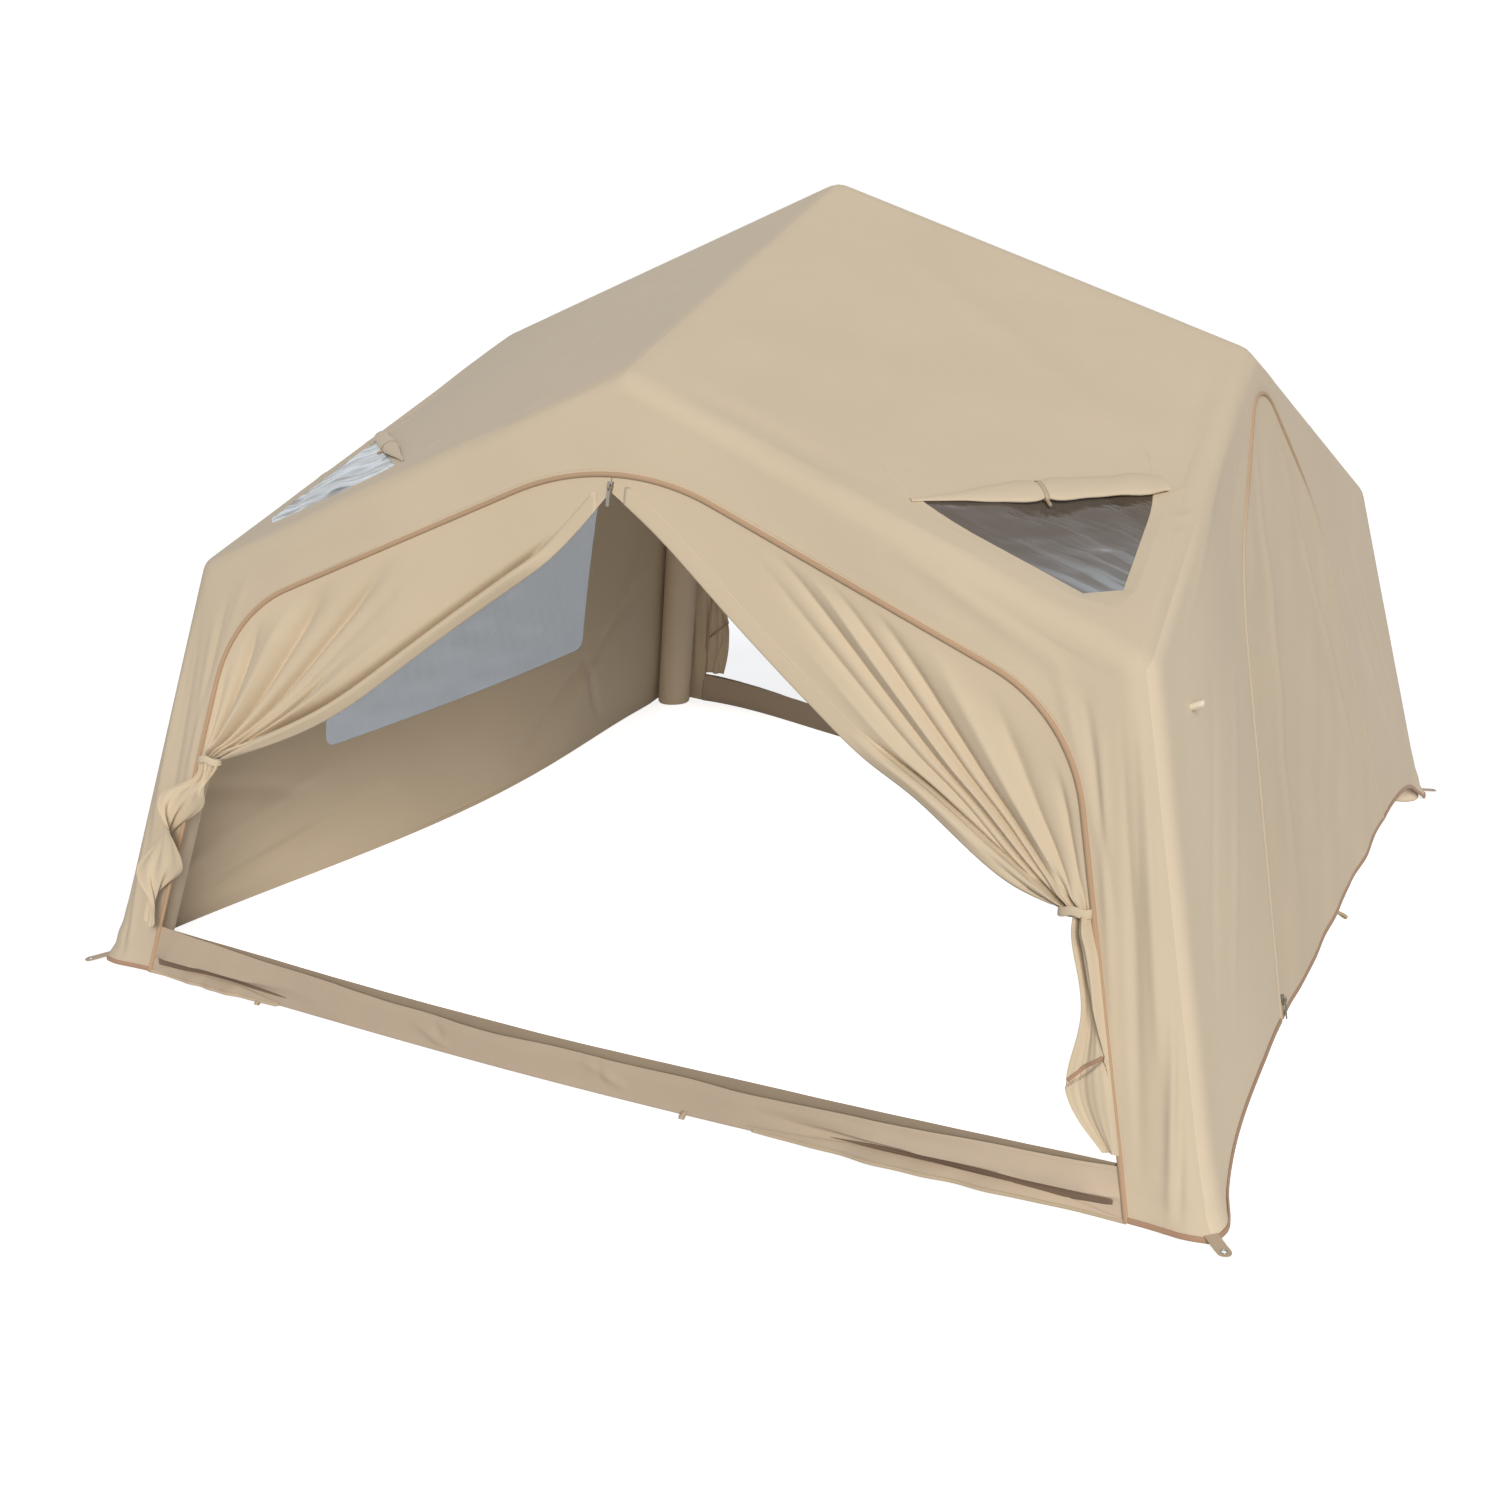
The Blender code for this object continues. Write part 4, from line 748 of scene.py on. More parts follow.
DOOR = door_half(0.0)
right_band = lifted_hem(band(over_the_top(split_half(DOOR, 12)), over_the_top(wall_half)))
RIGHT_CREASES = (
    ((0.60, 1.05), (1.15, 0.25), 0.020, 0.0035), ((0.85, 1.00), (1.25, 0.35), 0.016, -0.0035),
    ((0.30, 1.50), (1.00, 1.10), 0.020, 0.0030))
relief = (soft_waves(right_band, 21, 0.012)
          + creases(right_band, RIGHT_CREASES) + creases(right_band, RIGHT_CREASES, -1))
RIGHT = wall_frame("right")
relief = relief * edge_fade(*right_band.shape[:2]) + foot_flare(right_band)
places = over_beams(RIGHT, right_band, WALL_INNER, relief)
right_hem_ends = [places[:, 0], places[:, -1]]
# The right wall's canvas carries painted sunlight towards its front end.
made = sheet_piece("right_wall_cloth", places, right_band, RIGHT[3], painted_sunlit_canvas, ["right_wall"])

# %% Right door panel
DOOR_COLUMNS, DOOR_SUNK = 90, 0.0004
door_edge = split_half(door_half(0.0012), 12)
door_plan = straight_rows(door_edge[:, 0], door_edge[:, 1], DOOR_COLUMNS)
door_plan[..., 1] += (raised_hem(door_plan[..., 0]) - raised_hem(DOOR_BASE_HALF)) * (
    1 - np.linspace(0, 1, len(door_edge))[:, None]) ** 8
door_fade = np.clip((1 - np.abs(np.linspace(-1, 1, DOOR_COLUMNS))) / 0.2, 0, 1) * np.clip(
    (1.62 - door_plan[..., 1]) / 0.3, 0, 1)
pulls = (((-0.1, 1.5), (-0.45, 0.3), 0.03, 0.006), ((0.1, 1.45), (0.5, 0.35), 0.03, 0.006))
relief = (soft_waves(door_plan, 31, 0.016, 0.2, 0.8) + creases(door_plan, pulls)) * door_fade
places = put(RIGHT, door_plan[..., 0], door_plan[..., 1], relief - DOOR_SUNK)
door_hem = places[0]
made = sheet_piece("right_door_cloth", places, door_plan, RIGHT[3], curtain_cloth,
                   ["right_door_panel"], weld=True)

# %% [markdown]
# ## Left wall and its window
# The left wall has a large window of film with rounded corners. Its pattern is a closed band
# between the window and the wall's edge. The hem is drawn in towards the tent on the ground.
# %% Left wall
LEFT_BOW, WINDOW_HALF, WINDOW_LOW, WINDOW_HIGH, WINDOW_CORNER = 0.13, 0.70, 0.40, 0.98, 0.04
HEM_COUNT = 120


def left_bow(plan):
    """How far the left wall is drawn in: most at the middle of the hem, none along the beams."""
    top = INNER_SHOULDER[1]
    reach = at_level([INNER_FOOT, INNER_SHOULDER], plan[..., 1, None])[..., 0]
    middle = np.clip(1 - (plan[..., 0] / reach) ** 2, 0, 1)
    return LEFT_BOW * middle ** 2 * np.clip(1 - plan[..., 1] / top, 0, 1) ** 2


def window_corner(sign_x, high):
    """The quarter arc of one window corner, going round against the clock."""
    low_y, high_y = slant(WINDOW_LOW), slant(WINDOW_HIGH)
    corner = np.array([sign_x * WINDOW_HALF, high_y if high else low_y])
    beside = corner * [0, 1]
    along = np.array([corner[0], (low_y + high_y) / 2])
    first, last = (beside, along) if (sign_x > 0) != high else (along, beside)
    return arc(first, corner, last, WINDOW_CORNER, 8)


def window_ring(counts):
    """Window outline in five runs that match the wall's hem, right leg, two eaves and left leg."""
    corners = [window_corner(*which) for which in ((1, False), (1, True), (-1, True), (-1, False))]
    middle_top = np.array([[0.0, slant(WINDOW_HIGH)]])
    runs = [
        np.concatenate([corners[3][4:], corners[0][:4]]),
        np.concatenate([corners[0][3:], corners[1][:4]]),
        np.concatenate([corners[1][3:], middle_top]),
        np.concatenate([middle_top, corners[2][:4]]),
        np.concatenate([corners[2][3:], corners[3][:5]]),
    ]
    return ring_through(runs, counts)


def ring_through(runs, counts):
    """Closed outline: each run is spread into its count of places, without its last one."""
    return np.concatenate([spread(run, count)[:-1] for run, count in zip(runs, counts)])


# %% Left wall cloth
leg_foot = at_level(leg_line, HEM_LIFT)
wall_runs = [[mirrored(leg_foot), leg_foot], [leg_foot, SHARP_SHOULDER], [SHARP_SHOULDER, SHARP_PEAK],
             [SHARP_PEAK, mirrored(SHARP_SHOULDER)], [mirrored(SHARP_SHOULDER), mirrored(leg_foot)]]
RING_COUNTS = [HEM_COUNT, LEG_COUNT, EAVE_COUNT, EAVE_COUNT, LEG_COUNT]
left_band = band(window_ring(RING_COUNTS), ring_through(wall_runs, RING_COUNTS), 56)
LEFT_CREASES = (
    ((-1.30, 0.95), (-0.55, 0.05), 0.030, -0.012), ((-1.20, 0.60), (-0.20, 0.06), 0.028, 0.010),
    ((1.36, 0.04), (0.40, 0.20), 0.026, 0.011), ((1.34, 0.16), (0.66, 0.36), 0.030, -0.009),
    ((1.30, 0.46), (0.74, 0.28), 0.024, 0.007), ((1.36, 0.08), (0.80, 0.03), 0.020, -0.007),
    ((-0.70, 0.41), (-0.90, 0.04), 0.026, 0.009))
relief = soft_waves(left_band, 41, 0.014) + CREASE_DEPTH * creases(left_band, LEFT_CREASES)
relief = relief * edge_fade(*left_band.shape[:2]) + foot_flare(left_band)
LEFT = wall_frame("left")
INTO_TENT = turned((0, 1, 0), SIDES["left"])
places = over_beams(LEFT, left_band, WALL_INNER, relief) + left_bow(left_band)[..., None] * INTO_TENT
left_hem = places[-1, :HEM_COUNT]
made = sheet_piece("left_wall_cloth", places, left_band, LEFT[3], shaded_canvas, ["left_wall"],
                   joined=True)

# %% Left window film
FILM_ROWS, FILM_COLUMNS = 70, 170


def window_reach(up):
    """Half width of the window at a distance up the slope: shorter inside its rounded corners."""
    into = np.clip(np.minimum(up - slant(WINDOW_LOW), slant(WINDOW_HIGH) - up), 0, WINDOW_CORNER)
    cut = WINDOW_CORNER ** 2 - (WINDOW_CORNER - into) ** 2
    return WINDOW_HALF - WINDOW_CORNER + np.sqrt(np.clip(cut, 0, None))


film_up = slant(WINDOW_LOW) + (slant(WINDOW_HIGH) - slant(WINDOW_LOW)) * (
    0.5 - 0.5 * np.cos(np.linspace(0, math.pi, FILM_ROWS)))
film_plan = straight_rows(window_reach(film_up), film_up, FILM_COLUMNS)
film_fade = np.clip((WINDOW_HALF - np.abs(film_plan[..., 0])) / 0.06, 0, 1) * np.clip(
    np.minimum(film_plan[..., 1] - film_up[0], film_up[-1] - film_plan[..., 1]) / 0.06, 0, 1)
film_relief = soft_waves(film_plan, 51, 0.02, 0.06, 0.5, 9) * film_fade - CLOTH / 4
places = put(LEFT, film_plan[..., 0], film_plan[..., 1], film_relief)
places = places + left_bow(film_plan)[..., None] * INTO_TENT
made = sheet_piece("left_window_clear", places, film_plan, LEFT[3], side_film,
                   ["left_window_film"], FILM)

# %% [markdown]
# ## Roof panels
# Each roof panel is a kite from the apex to one shoulder, with a window low down. The window
# is a trapezoid whose sides run parallel to the eaves. The band between them is matched
# corner to corner, so the cloth's rows fan out as its real seams would pull it.
# %% Roof outlines
WINDOW_MARGIN, WINDOW_TOP, WINDOW_TIP_HALF = 0.098, 1.266, 0.045


def roof_window():
    """Corners of the right half of a roof window: one on its top edge and its lower tip."""
    sharp = solid_corners(0.0)
    peak = np.full(2, sharp["peak"][0] / math.sqrt(2))
    shoulder = np.array([0, sharp["shoulder"][0] * math.sqrt(2)])
    slope = math.hypot(1, ROOF_PITCH * math.sqrt(2))
    side_line = drawn_in(peak, shoulder, WINDOW_MARGIN)
    wide = at_level(side_line, WINDOW_TOP)
    run = side_line[1] - side_line[0]
    tip = side_line[0] + run * (WINDOW_TIP_HALF - side_line[0][0]) / run[0]
    return [np.array([point[0], -point[1] * slope]) for point in (wide, tip)]


def kite_frame_points(corner, points):
    """A roof panel's outline in its own plane: apex, right peak, shoulder, left peak."""
    place_frame = roof_frame(corner)
    depth, hand = corner.split("_")
    peaks = [flat(place_frame, points[f"peak_{name}"]) for name in (depth, hand)]
    peaks.sort(key=lambda p: -p[0])
    return np.array([flat(place_frame, points["apex"]), peaks[0],
                     flat(place_frame, points[f"shoulder_{corner}"]), peaks[1]])


def with_corner(line, count):
    """Spreads a line of three points evenly and puts its middle point on the nearest place."""
    places = spread(line, count)
    places[np.argmin(np.linalg.norm(places - line[1], axis=1))] = line[1]
    return places


WIDE, TIP = roof_window()
print("roof window corners", np.round([WIDE, TIP], 3).tolist())


# %% Pattern of a roof panel
def roof_ring(counts):
    """A roof window's outline in four runs, from the middle of its top edge round to the left."""
    half, top, low = (WIDE + TIP) / 2, [0.0, WIDE[1]], [0.0, TIP[1]]
    runs = [[top, WIDE, half], [half, TIP, low], [low, mirrored(TIP), mirrored(half)],
            [mirrored(half), mirrored(WIDE), top]]
    return np.concatenate([with_corner(np.array(run, float), count)[:-1] for run, count in zip(runs, counts)])


ROOF_COUNTS, ROOF_ROWS = [RIDGE_COUNT, EAVE_COUNT, EAVE_COUNT, RIDGE_COUNT], 56
ROOF_CREASES = (
    ((0.0, -0.25), (-0.30, -1.20), 0.050, 0.0040), ((0.0, -0.25), (0.30, -1.20), 0.050, 0.0040),
    ((-0.34, -1.40), (-0.80, -0.80), 0.030, -0.0040), ((0.34, -1.40), (0.80, -0.80), 0.030, -0.0040),
    ((-0.20, -0.50), (-0.75, -0.72), 0.040, 0.0030), ((0.20, -0.50), (0.75, -0.72), 0.040, 0.0030),
    ((0.31, -1.46), (0.47, -1.44), 0.009, 0.0035), ((0.29, -1.51), (0.45, -1.49), 0.010, -0.0035),
    ((0.26, -1.56), (0.41, -1.52), 0.009, 0.0030), ((0.23, -1.62), (0.36, -1.57), 0.009, 0.0030))


def roof_band(corner):
    """Pattern of a roof panel between its window and its own edge."""
    edge = kite_frame_points(corner, SHARP)
    runs = [[edge[i], edge[(i + 1) % 4]] for i in range(4)]
    return band(roof_ring(ROOF_COUNTS), ring_through(runs, ROOF_COUNTS), ROOF_ROWS)


# %% Roof pieces
film_up = np.linspace(TIP[1], WIDE[1], 70)
roof_film_plan = straight_rows(np.interp(film_up, [TIP[1], WIDE[1]], [TIP[0], WIDE[0]]), film_up, 90)
film_across, film_level = roof_film_plan[..., 0], roof_film_plan[..., 1]
film_fade = np.clip((film_level - film_up[0]) / 0.05, 0, 1) * np.clip((film_up[-1] - film_level) / 0.05, 0, 1)
film_fade = film_fade * np.clip((film_across[:, -1:] - np.abs(film_across)) / 0.04, 0, 1)
for number, (corner, (sx, sy)) in enumerate(CORNERS.items()):
    place_frame, plan, mirror = roof_frame(corner), roof_band(corner), -sx * sy
    inner = kite_frame_points(corner, JOINTS)[::-1]
    if np.cross(inner[1] - inner[0], inner[2] - inner[1]) < 0:
        inner = inner[::-1]
    relief = soft_waves(plan, 60 + number, 0.016) + creases(plan, ROOF_CREASES, mirror)
    places = over_beams(place_frame, plan, inner, relief * edge_fade(*plan.shape[:2]))
    made = sheet_piece(f"roof_cloth_{corner}", places, plan, place_frame[3],
                       shaded_canvas if corner.endswith("left") else canvas,
                       [f"roof_panel_{corner}"], joined=True)
    depth, hand = corner.split("_")
    ripple = soft_waves(roof_film_plan, 70 + number, 0.022, 0.05, 0.4, 9) * film_fade - CLOTH / 4
    made = sheet_piece(f"roof_film_{corner}", put(place_frame, film_across, film_level, ripple),
                       roof_film_plan * [mirror, 1], place_frame[3], roof_film,
                       [f"roof_window_film_{corner}"], FILM)

# %% [markdown]
# ## Strips and tubes
# Piping, tapes, hems and straps are all one section carried along a line. A section is a ring
# of (sideways, outward) pairs, and the strip's places are the line's places plus the section
# laid out on two directions. The beams' sleeves are rings as well, and the same helper closes
# them to a mesh.
# %% Strip helpers
def tube_piece(name, rings, finish, stands_for=(), joined=False):
    """Closed mesh through rings of places; joined rings make a loop, others get end faces."""
    rows, columns = rings.shape[:2]
    number = np.arange(rows * columns).reshape(rows, columns)
    rounds = np.concatenate([number, number[:1]]) if joined else number
    after = np.roll(rounds, -1, axis=1)
    quads = np.stack([rounds[:-1], after[:-1], after[1:], rounds[1:]], axis=-1).reshape(-1, 4)
    ends = [] if joined else [number[0, ::-1].tolist(), number[-1].tolist()]
    run = running(steps_along(rings).mean(axis=1))
    girth = np.linalg.norm(rings - np.roll(rings, -1, axis=1), axis=-1).mean(axis=0)
    uv = grid_of(run[:, None], np.cumsum(girth)).reshape(-1, 2)
    return new_piece(name, rings.reshape(-1, 3), quads, finish, stands_for, uv, weld=True, ends=ends)


def runs_along(places, joined=False):
    """Direction of a line at each of its places."""
    if joined:
        return unit(np.roll(places, -1, axis=0) - np.roll(places, 1, axis=0))
    return unit(np.gradient(places, axis=0))


def strip(places, outward, section, joined=False, scale=None):
    """Rings of a strip: a section of (sideways, outward) pairs carried along a line of places."""
    run = runs_along(places, joined)
    sideways = unit(np.cross(np.broadcast_to(outward, places.shape), run))
    lift = unit(np.cross(run, sideways))
    section = np.asarray(section, float)
    scale = np.ones((len(places), 2)) if scale is None else scale
    return (places[:, None] + sideways[:, None] * (section[None, :, :1] * scale[:, None, :1])
            + lift[:, None] * (section[None, :, 1:] * scale[:, None, 1:]))


def low_round(width, height, count=7, sunk=0.0004):
    """Section of a flat strip with a rounded top, sunk a little into what it is sewn to."""
    angle = np.linspace(0, math.pi, count)
    top = np.stack([np.cos(angle) * width / 2, np.sin(angle) ** 0.7 * height], axis=1)
    return np.concatenate([top, [[-width / 2, -sunk], [width / 2, -sunk]]])


def stitch_marks(name, places, outward, pitch=0.0055, length=0.0036, width=0.0009):
    """One mesh of small raised thread dashes at even steps along a line."""
    count = int(steps_along(places).sum() / pitch)
    spots = spread(places, count)
    run = runs_along(spots)
    lift = np.stack([np.interp(np.linspace(0, 1, count), np.linspace(0, 1, len(places)),
                               np.broadcast_to(outward, places.shape)[:, axis]) for axis in range(3)], axis=1)
    sideways = unit(np.cross(lift, run))
    lift = unit(lift)
    base, top = [(-1, -1, 0), (1, -1, 0), (1, 1, 0), (-1, 1, 0)], [(-0.7, -0.6, 1), (0.7, -0.6, 1)]
    top += [(0.7, 0.6, 1), (-0.7, 0.6, 1)]
    form = np.array(base + top) * [length / 2, width / 2, width * 0.8] - [0, 0, width * 0.3]
    corners = (spots[:, None] + run[:, None] * form[None, :, :1] + sideways[:, None] * form[None, :, 1:2]
               + lift[:, None] * form[None, :, 2:])
    box = np.array([(0, 3, 2, 1), (4, 5, 6, 7), (0, 1, 5, 4), (1, 2, 6, 5), (2, 3, 7, 6), (3, 0, 4, 7)])
    quads = (box[None] + np.arange(count)[:, None, None] * 8).reshape(-1, 4)
    uv = np.repeat(np.stack([np.arange(count) * pitch, np.zeros(count)], axis=1), 8, axis=0)
    return new_piece(name, corners.reshape(-1, 3), quads, thread_finish, uv=uv, outward_faces=True)


# %% [markdown]
# ## Sleeves of the air beams
# Each beam is an airtight tube in a cloth sleeve. It is a cylinder whose ends follow the
# planes halfway between it and its neighbours, so the sleeves meet along mitred seams. The
# cloth puckers beside those seams and is smooth along the middle, where the air holds it out.
# %% Beam sleeves
SLEEVE_SIDES, SLEEVE_ROWS, MITRE_GAP = 72, 64, 0.0004
FOOT_ROUNDING, SOLE_LEVEL, SLEEVE_SUNK = 0.018, 0.001, 0.0004
PUCKER_HEIGHT, PUCKER_REACH = 0.0011, 0.07


def beam_runs():
    """Name of every beam with the joints at its low and high end."""
    runs = {f"leg_beam_{corner}": (f"foot_{corner}", f"shoulder_{corner}") for corner in CORNERS}
    for side in SIDES:
        for hand in hands_of(side):
            runs[f"eave_beam_{side}_side_{hand}"] = (f"shoulder_{corner_of(side, hand)}", f"peak_{side}")
        runs[f"ridge_beam_{side}"] = (f"peak_{side}", "apex")
    return runs


RUNS = beam_runs()


def mitre_reach(name, joint, ring, way):
    """How far each line of a tube runs beyond its joint before it meets a neighbour's mitre plane."""
    reach = np.full(len(ring), np.inf)
    for other, ends in RUNS.items():
        if other == name or joint not in ends:
            continue
        far = ends[0] if ends[1] == joint else ends[1]
        normal = unit(unit(JOINTS[far] - JOINTS[joint]) + way)
        reach = np.minimum(reach, (-ring @ normal) / (way @ normal) - MITRE_GAP)
    return reach


def sleeve(name, low, high):
    """Rings of one beam's sleeve, closed at each end on its joint or on the floor."""
    start, end = JOINTS[low], JOINTS[high]
    axis = unit(end - start)
    x = unit(np.cross(axis, [0.3, 0.2, 1.0]))
    y = np.cross(axis, x)
    angle = np.linspace(0, 2 * math.pi, SLEEVE_SIDES, endpoint=False)
    around = np.cos(angle)[:, None] * x + np.sin(angle)[:, None] * y
    ring = around * BEAM_RADIUS
    last = np.linalg.norm(end - start) + mitre_reach(name, high, ring, axis)
    on_floor = low.startswith("foot")
    first = (-ring[:, 2] / axis[2]) + FOOT_ROUNDING if on_floor else -mitre_reach(name, low, ring, -axis)
    along = first + (last - first) * np.linspace(0, 1, SLEEVE_ROWS)[:, None]
    from_ends = np.minimum(along - first, last - along)
    pucker = np.exp(-from_ends / PUCKER_REACH) * np.clip(from_ends / 0.015, 0, 1)
    ripple = PUCKER_HEIGHT * np.sin(11 * angle + 0.7) * np.sin(5 * angle) * pucker
    rings = start + axis * along[..., None] + around * (BEAM_RADIUS + ripple - SLEEVE_SUNK)[..., None]
    closing = np.broadcast_to(end, (1, SLEEVE_SIDES, 3))
    if not on_floor:
        return np.concatenate([np.broadcast_to(start, (1, SLEEVE_SIDES, 3)), rings, closing])
    turn = np.linspace(0, 1, 6)[:-1, None, None] * math.pi / 2
    foot = (start + axis * (first[None, :, None] - FOOT_ROUNDING * np.cos(turn))
            + around * (BEAM_RADIUS - FOOT_ROUNDING * (1 - np.sin(turn))))
    foot[..., 2] = np.maximum(foot[..., 2], SOLE_LEVEL)
    sole = np.broadcast_to([start[0], start[1], SOLE_LEVEL], (1, SLEEVE_SIDES, 3))
    return np.concatenate([sole, foot, rings, closing])


for name, (low, high) in RUNS.items():
    tube_piece(name.replace("_beam", "_sleeve"), sleeve(name, low, high), sleeve_cloth, [name])
print("sleeves", len(RUNS))

# %% [markdown]
# ## Piping and stitching
# The arches are bound with brown piping: a cord in a folded strip, sewn over the edge of the
# wall. Beside it runs a line of stitches. Round the closed door the piping lies flatter, and
# it only stands out near the top.
# %% Piping
PIPING_WIDTH, PIPING_HEIGHT, STITCHES_BESIDE = 0.012, 0.006, 0.0115
FLAT_LEVEL, FLAT_SHARE = 1.05, 0.40
over_the_arch = over_the_top(spread(ARCH, 260))
for side, line, finish in (("front", over_the_arch, piping_cloth), ("back", over_the_arch, piping_cloth),
                           ("right", over_the_top(spread(DOOR, 230)), pale_low_piping)):
    place_frame, name = wall_frame(side), f"{side}_arch_piping"
    places = put(place_frame, line[:, 0], line[:, 1], 0.0)
    proud = np.ones((len(places), 2))
    if side == "right":
        proud *= FLAT_SHARE + (1 - FLAT_SHARE) * smooth((places[:, 2:] - FLAT_LEVEL) / 0.25)
    bound = strip(places, place_frame[3], low_round(PIPING_WIDTH, PIPING_HEIGHT, 9), scale=proud)
    tube_piece(f"{name}_binding", bound, finish, [name])
    seam = line + unit(line - np.array([0, 0.6])) * STITCHES_BESIDE
    stitch_marks(f"{name}_stitches", put(place_frame, seam[:, 0], seam[:, 1], 0.0006), place_frame[3])
    print(name, "length", round(float(steps_along(places).sum()), 2), "m")

# %% [markdown]
# ## Curtains
# Each curtain is half of an open door's cloth. It hangs from the arch, is gathered in a strap
# low on the jamb, and its rest hangs down as a tail. Every column of the grid is a ray from
# the arch to the tie that sags under its own weight, most at the free edge. The folds are
# rounded ridges with tight valleys: few and broad at the arch, many and fine at the strap.
# The front left tail is a ribbon that twists on its way down. The others hang in pleats that
# grow shallower below the strap.
# %% Sizes at the tie, and a smooth curve
TIE_HEIGHT, WAIST_WIDTH, WAIST_DEPTH, WAIST_STRAIGHT = 0.58, 0.067, 0.018, 0.008
TIE_CLEARANCE, RAY_LEVEL, SPLIT_DROP, SILL_HEIGHT, EDGE_GAP = 0.004, 0.11, 0.038, 0.128, 0.0012
CURTAIN_COLUMNS, RAY_ROWS = 230, 130
TIE = slant(TIE_HEIGHT)


def spline(knots, values, where):
    """Smooth curve through given values: a natural cubic, solved as one small system."""
    knots, values = np.asarray(knots, float), np.asarray(values, float)
    gap = np.diff(knots)
    slope = np.diff(values) / gap
    count = len(knots)
    system = np.eye(count)
    system[range(1, count - 1), range(count - 2)] = gap[:-1]
    system[range(1, count - 1), range(1, count - 1)] = 2 * (gap[:-1] + gap[1:])
    system[range(1, count - 1), range(2, count)] = gap[1:]
    bend = np.linalg.solve(system, np.concatenate([[0], 6 * np.diff(slope), [0]]))
    index = np.clip(np.searchsorted(knots, where) - 1, 0, count - 2)
    width, ahead, behind = gap[index], knots[index + 1] - where, where - knots[index]
    return ((bend[index] * ahead ** 3 + bend[index + 1] * behind ** 3) / (6 * width)
            + (values[index] / width - bend[index] * width / 6) * ahead
            + (values[index + 1] / width - bend[index + 1] * width / 6) * behind)


def jamb_at(extra, up):
    """Half width of the doorway at distances up the slope, on its straight lower run."""
    hem, shoulder, _ = arch_parts(extra)
    return at_level([hem, shoulder[0]], np.asarray(up, float)[..., None])[..., 0]


WAIST_MIDDLE = jamb_at(0.0, TIE) - TIE_CLEARANCE - WAIST_WIDTH / 2
print("tie", round(TIE, 3), "m up the slope, middle of the waist", round(float(WAIST_MIDDLE), 3), "m across")


# %% Shape of a curtain above its strap
HEM_ROLL, HEM_VALLEY = (0.022, 0.020), (0.052, 0.009, 0.02, 1.1)
BRIM_HEIGHT, BRIM_PLACE, ARCH_FADE = 0.010, (0.945, 0.035), 0.045


def pleats(shares, count, phase, evenness=0.012):
    """Rounded ridges and tight valleys, from -1 to 1, with uneven spacing."""
    uneven = shares + evenness * np.sin(2 * math.pi * 3.1 * shares + phase) + evenness * np.sin(
        2 * math.pi * 5.3 * shares + 2 * phase)
    return 2 * np.sqrt(np.sin(math.pi * count * uneven + phase) ** 2 + 0.015) - 1.1


def half_round(share):
    """Half circle over a share from 0 to 1: 0 at both ends and 1 in the middle."""
    return np.sqrt(np.clip(1 - (2 * share - 1) ** 2, 0, 1))


def curtain_rays(sag, folds, count, phase, hem, fullness=0.014, gathered_from=0.62):
    """(across, up, out) grid of a curtain from the arch down to its strap.

    Each column runs straight from its place on the arch to its place in the strap, and sags by
    a spline of its way down times a power of its share from the jamb. Outwards it adds up broad
    folds, the roll and valley beside the doubled hem, pleats that gather towards the strap and
    a brim above it, and all of them die out at the arch. The hem is the valley's depth, and the
    shares of the way down where it starts and ends. A fold is its share across at the top and
    at the strap, its width and height, and the share of the way down where it starts.
    """
    shares = np.linspace(0, 1, CURTAIN_COLUMNS)
    down = np.linspace(0, 1, RAY_ROWS)[:, None]
    arch = arch_half(EDGE_GAP)[::-1]
    stop_up = TIE + RAY_LEVEL
    bend = arch[1:][arch[1:, 1] > stop_up]
    top = spread(np.concatenate([[[EDGE_GAP, arch[0, 1] - SPLIT_DROP], [EDGE_GAP, arch[0, 1]]], bend,
                                 [[jamb_at(EDGE_GAP, stop_up), stop_up]]]), CURTAIN_COLUMNS)
    waist = grid_of(WAIST_MIDDLE + (shares - 0.5) * WAIST_WIDTH, TIE + WAIST_STRAIGHT / 2)
    places = top + (waist - top) * down[..., None]
    places[..., 1] -= spline(*sag, down) * (1 - shares) ** 2.2
    broad = sum(1.6 * height * smooth((down - first) / 0.3) * soft_tip(
        shares, high + (low - high) * down, width, 0.10, 1.5) for high, low, width, height, first in folds)
    from_edge = shares * (steps_along(top).sum() * (1 - down) + WAIST_WIDTH * down)
    depth, begins, ends = hem
    doubled = 0.55 * bell(from_edge, *HEM_ROLL) - soft_tip(from_edge, *HEM_VALLEY)
    broad = broad + depth * smooth((down - begins) / 0.12) * smooth((ends - down) / 0.12) * doubled
    close = smooth((down - 0.8) / 0.2)
    deep = fullness * (1 - close) + WAIST_DEPTH * half_round(shares) * close
    gather = deep * smooth((down - gathered_from) / (1 - gathered_from)) * pleats(shares, count, phase)
    brim = BRIM_HEIGHT * bell(down, *BRIM_PLACE) * half_round(shares)
    out = broad * (1 - 0.7 * smooth((down - 0.7) / 0.3)) + gather + brim
    edge = smooth(places_gap(places) / ARCH_FADE)
    return grid_of(places[..., 0], places[..., 1], out * edge)


def places_gap(places):
    """Distance of places from the arch's line, worked out against its points."""
    line = spread(arch_half(0.0), 160)
    return np.min([near_segment(places, *ends)[1] for ends in zip(line[:-1:4], line[4::4])], axis=0)


# %% Shapes of the tails
TAIL_PRESS, TAIL_PROUD = 0.003, 0.008


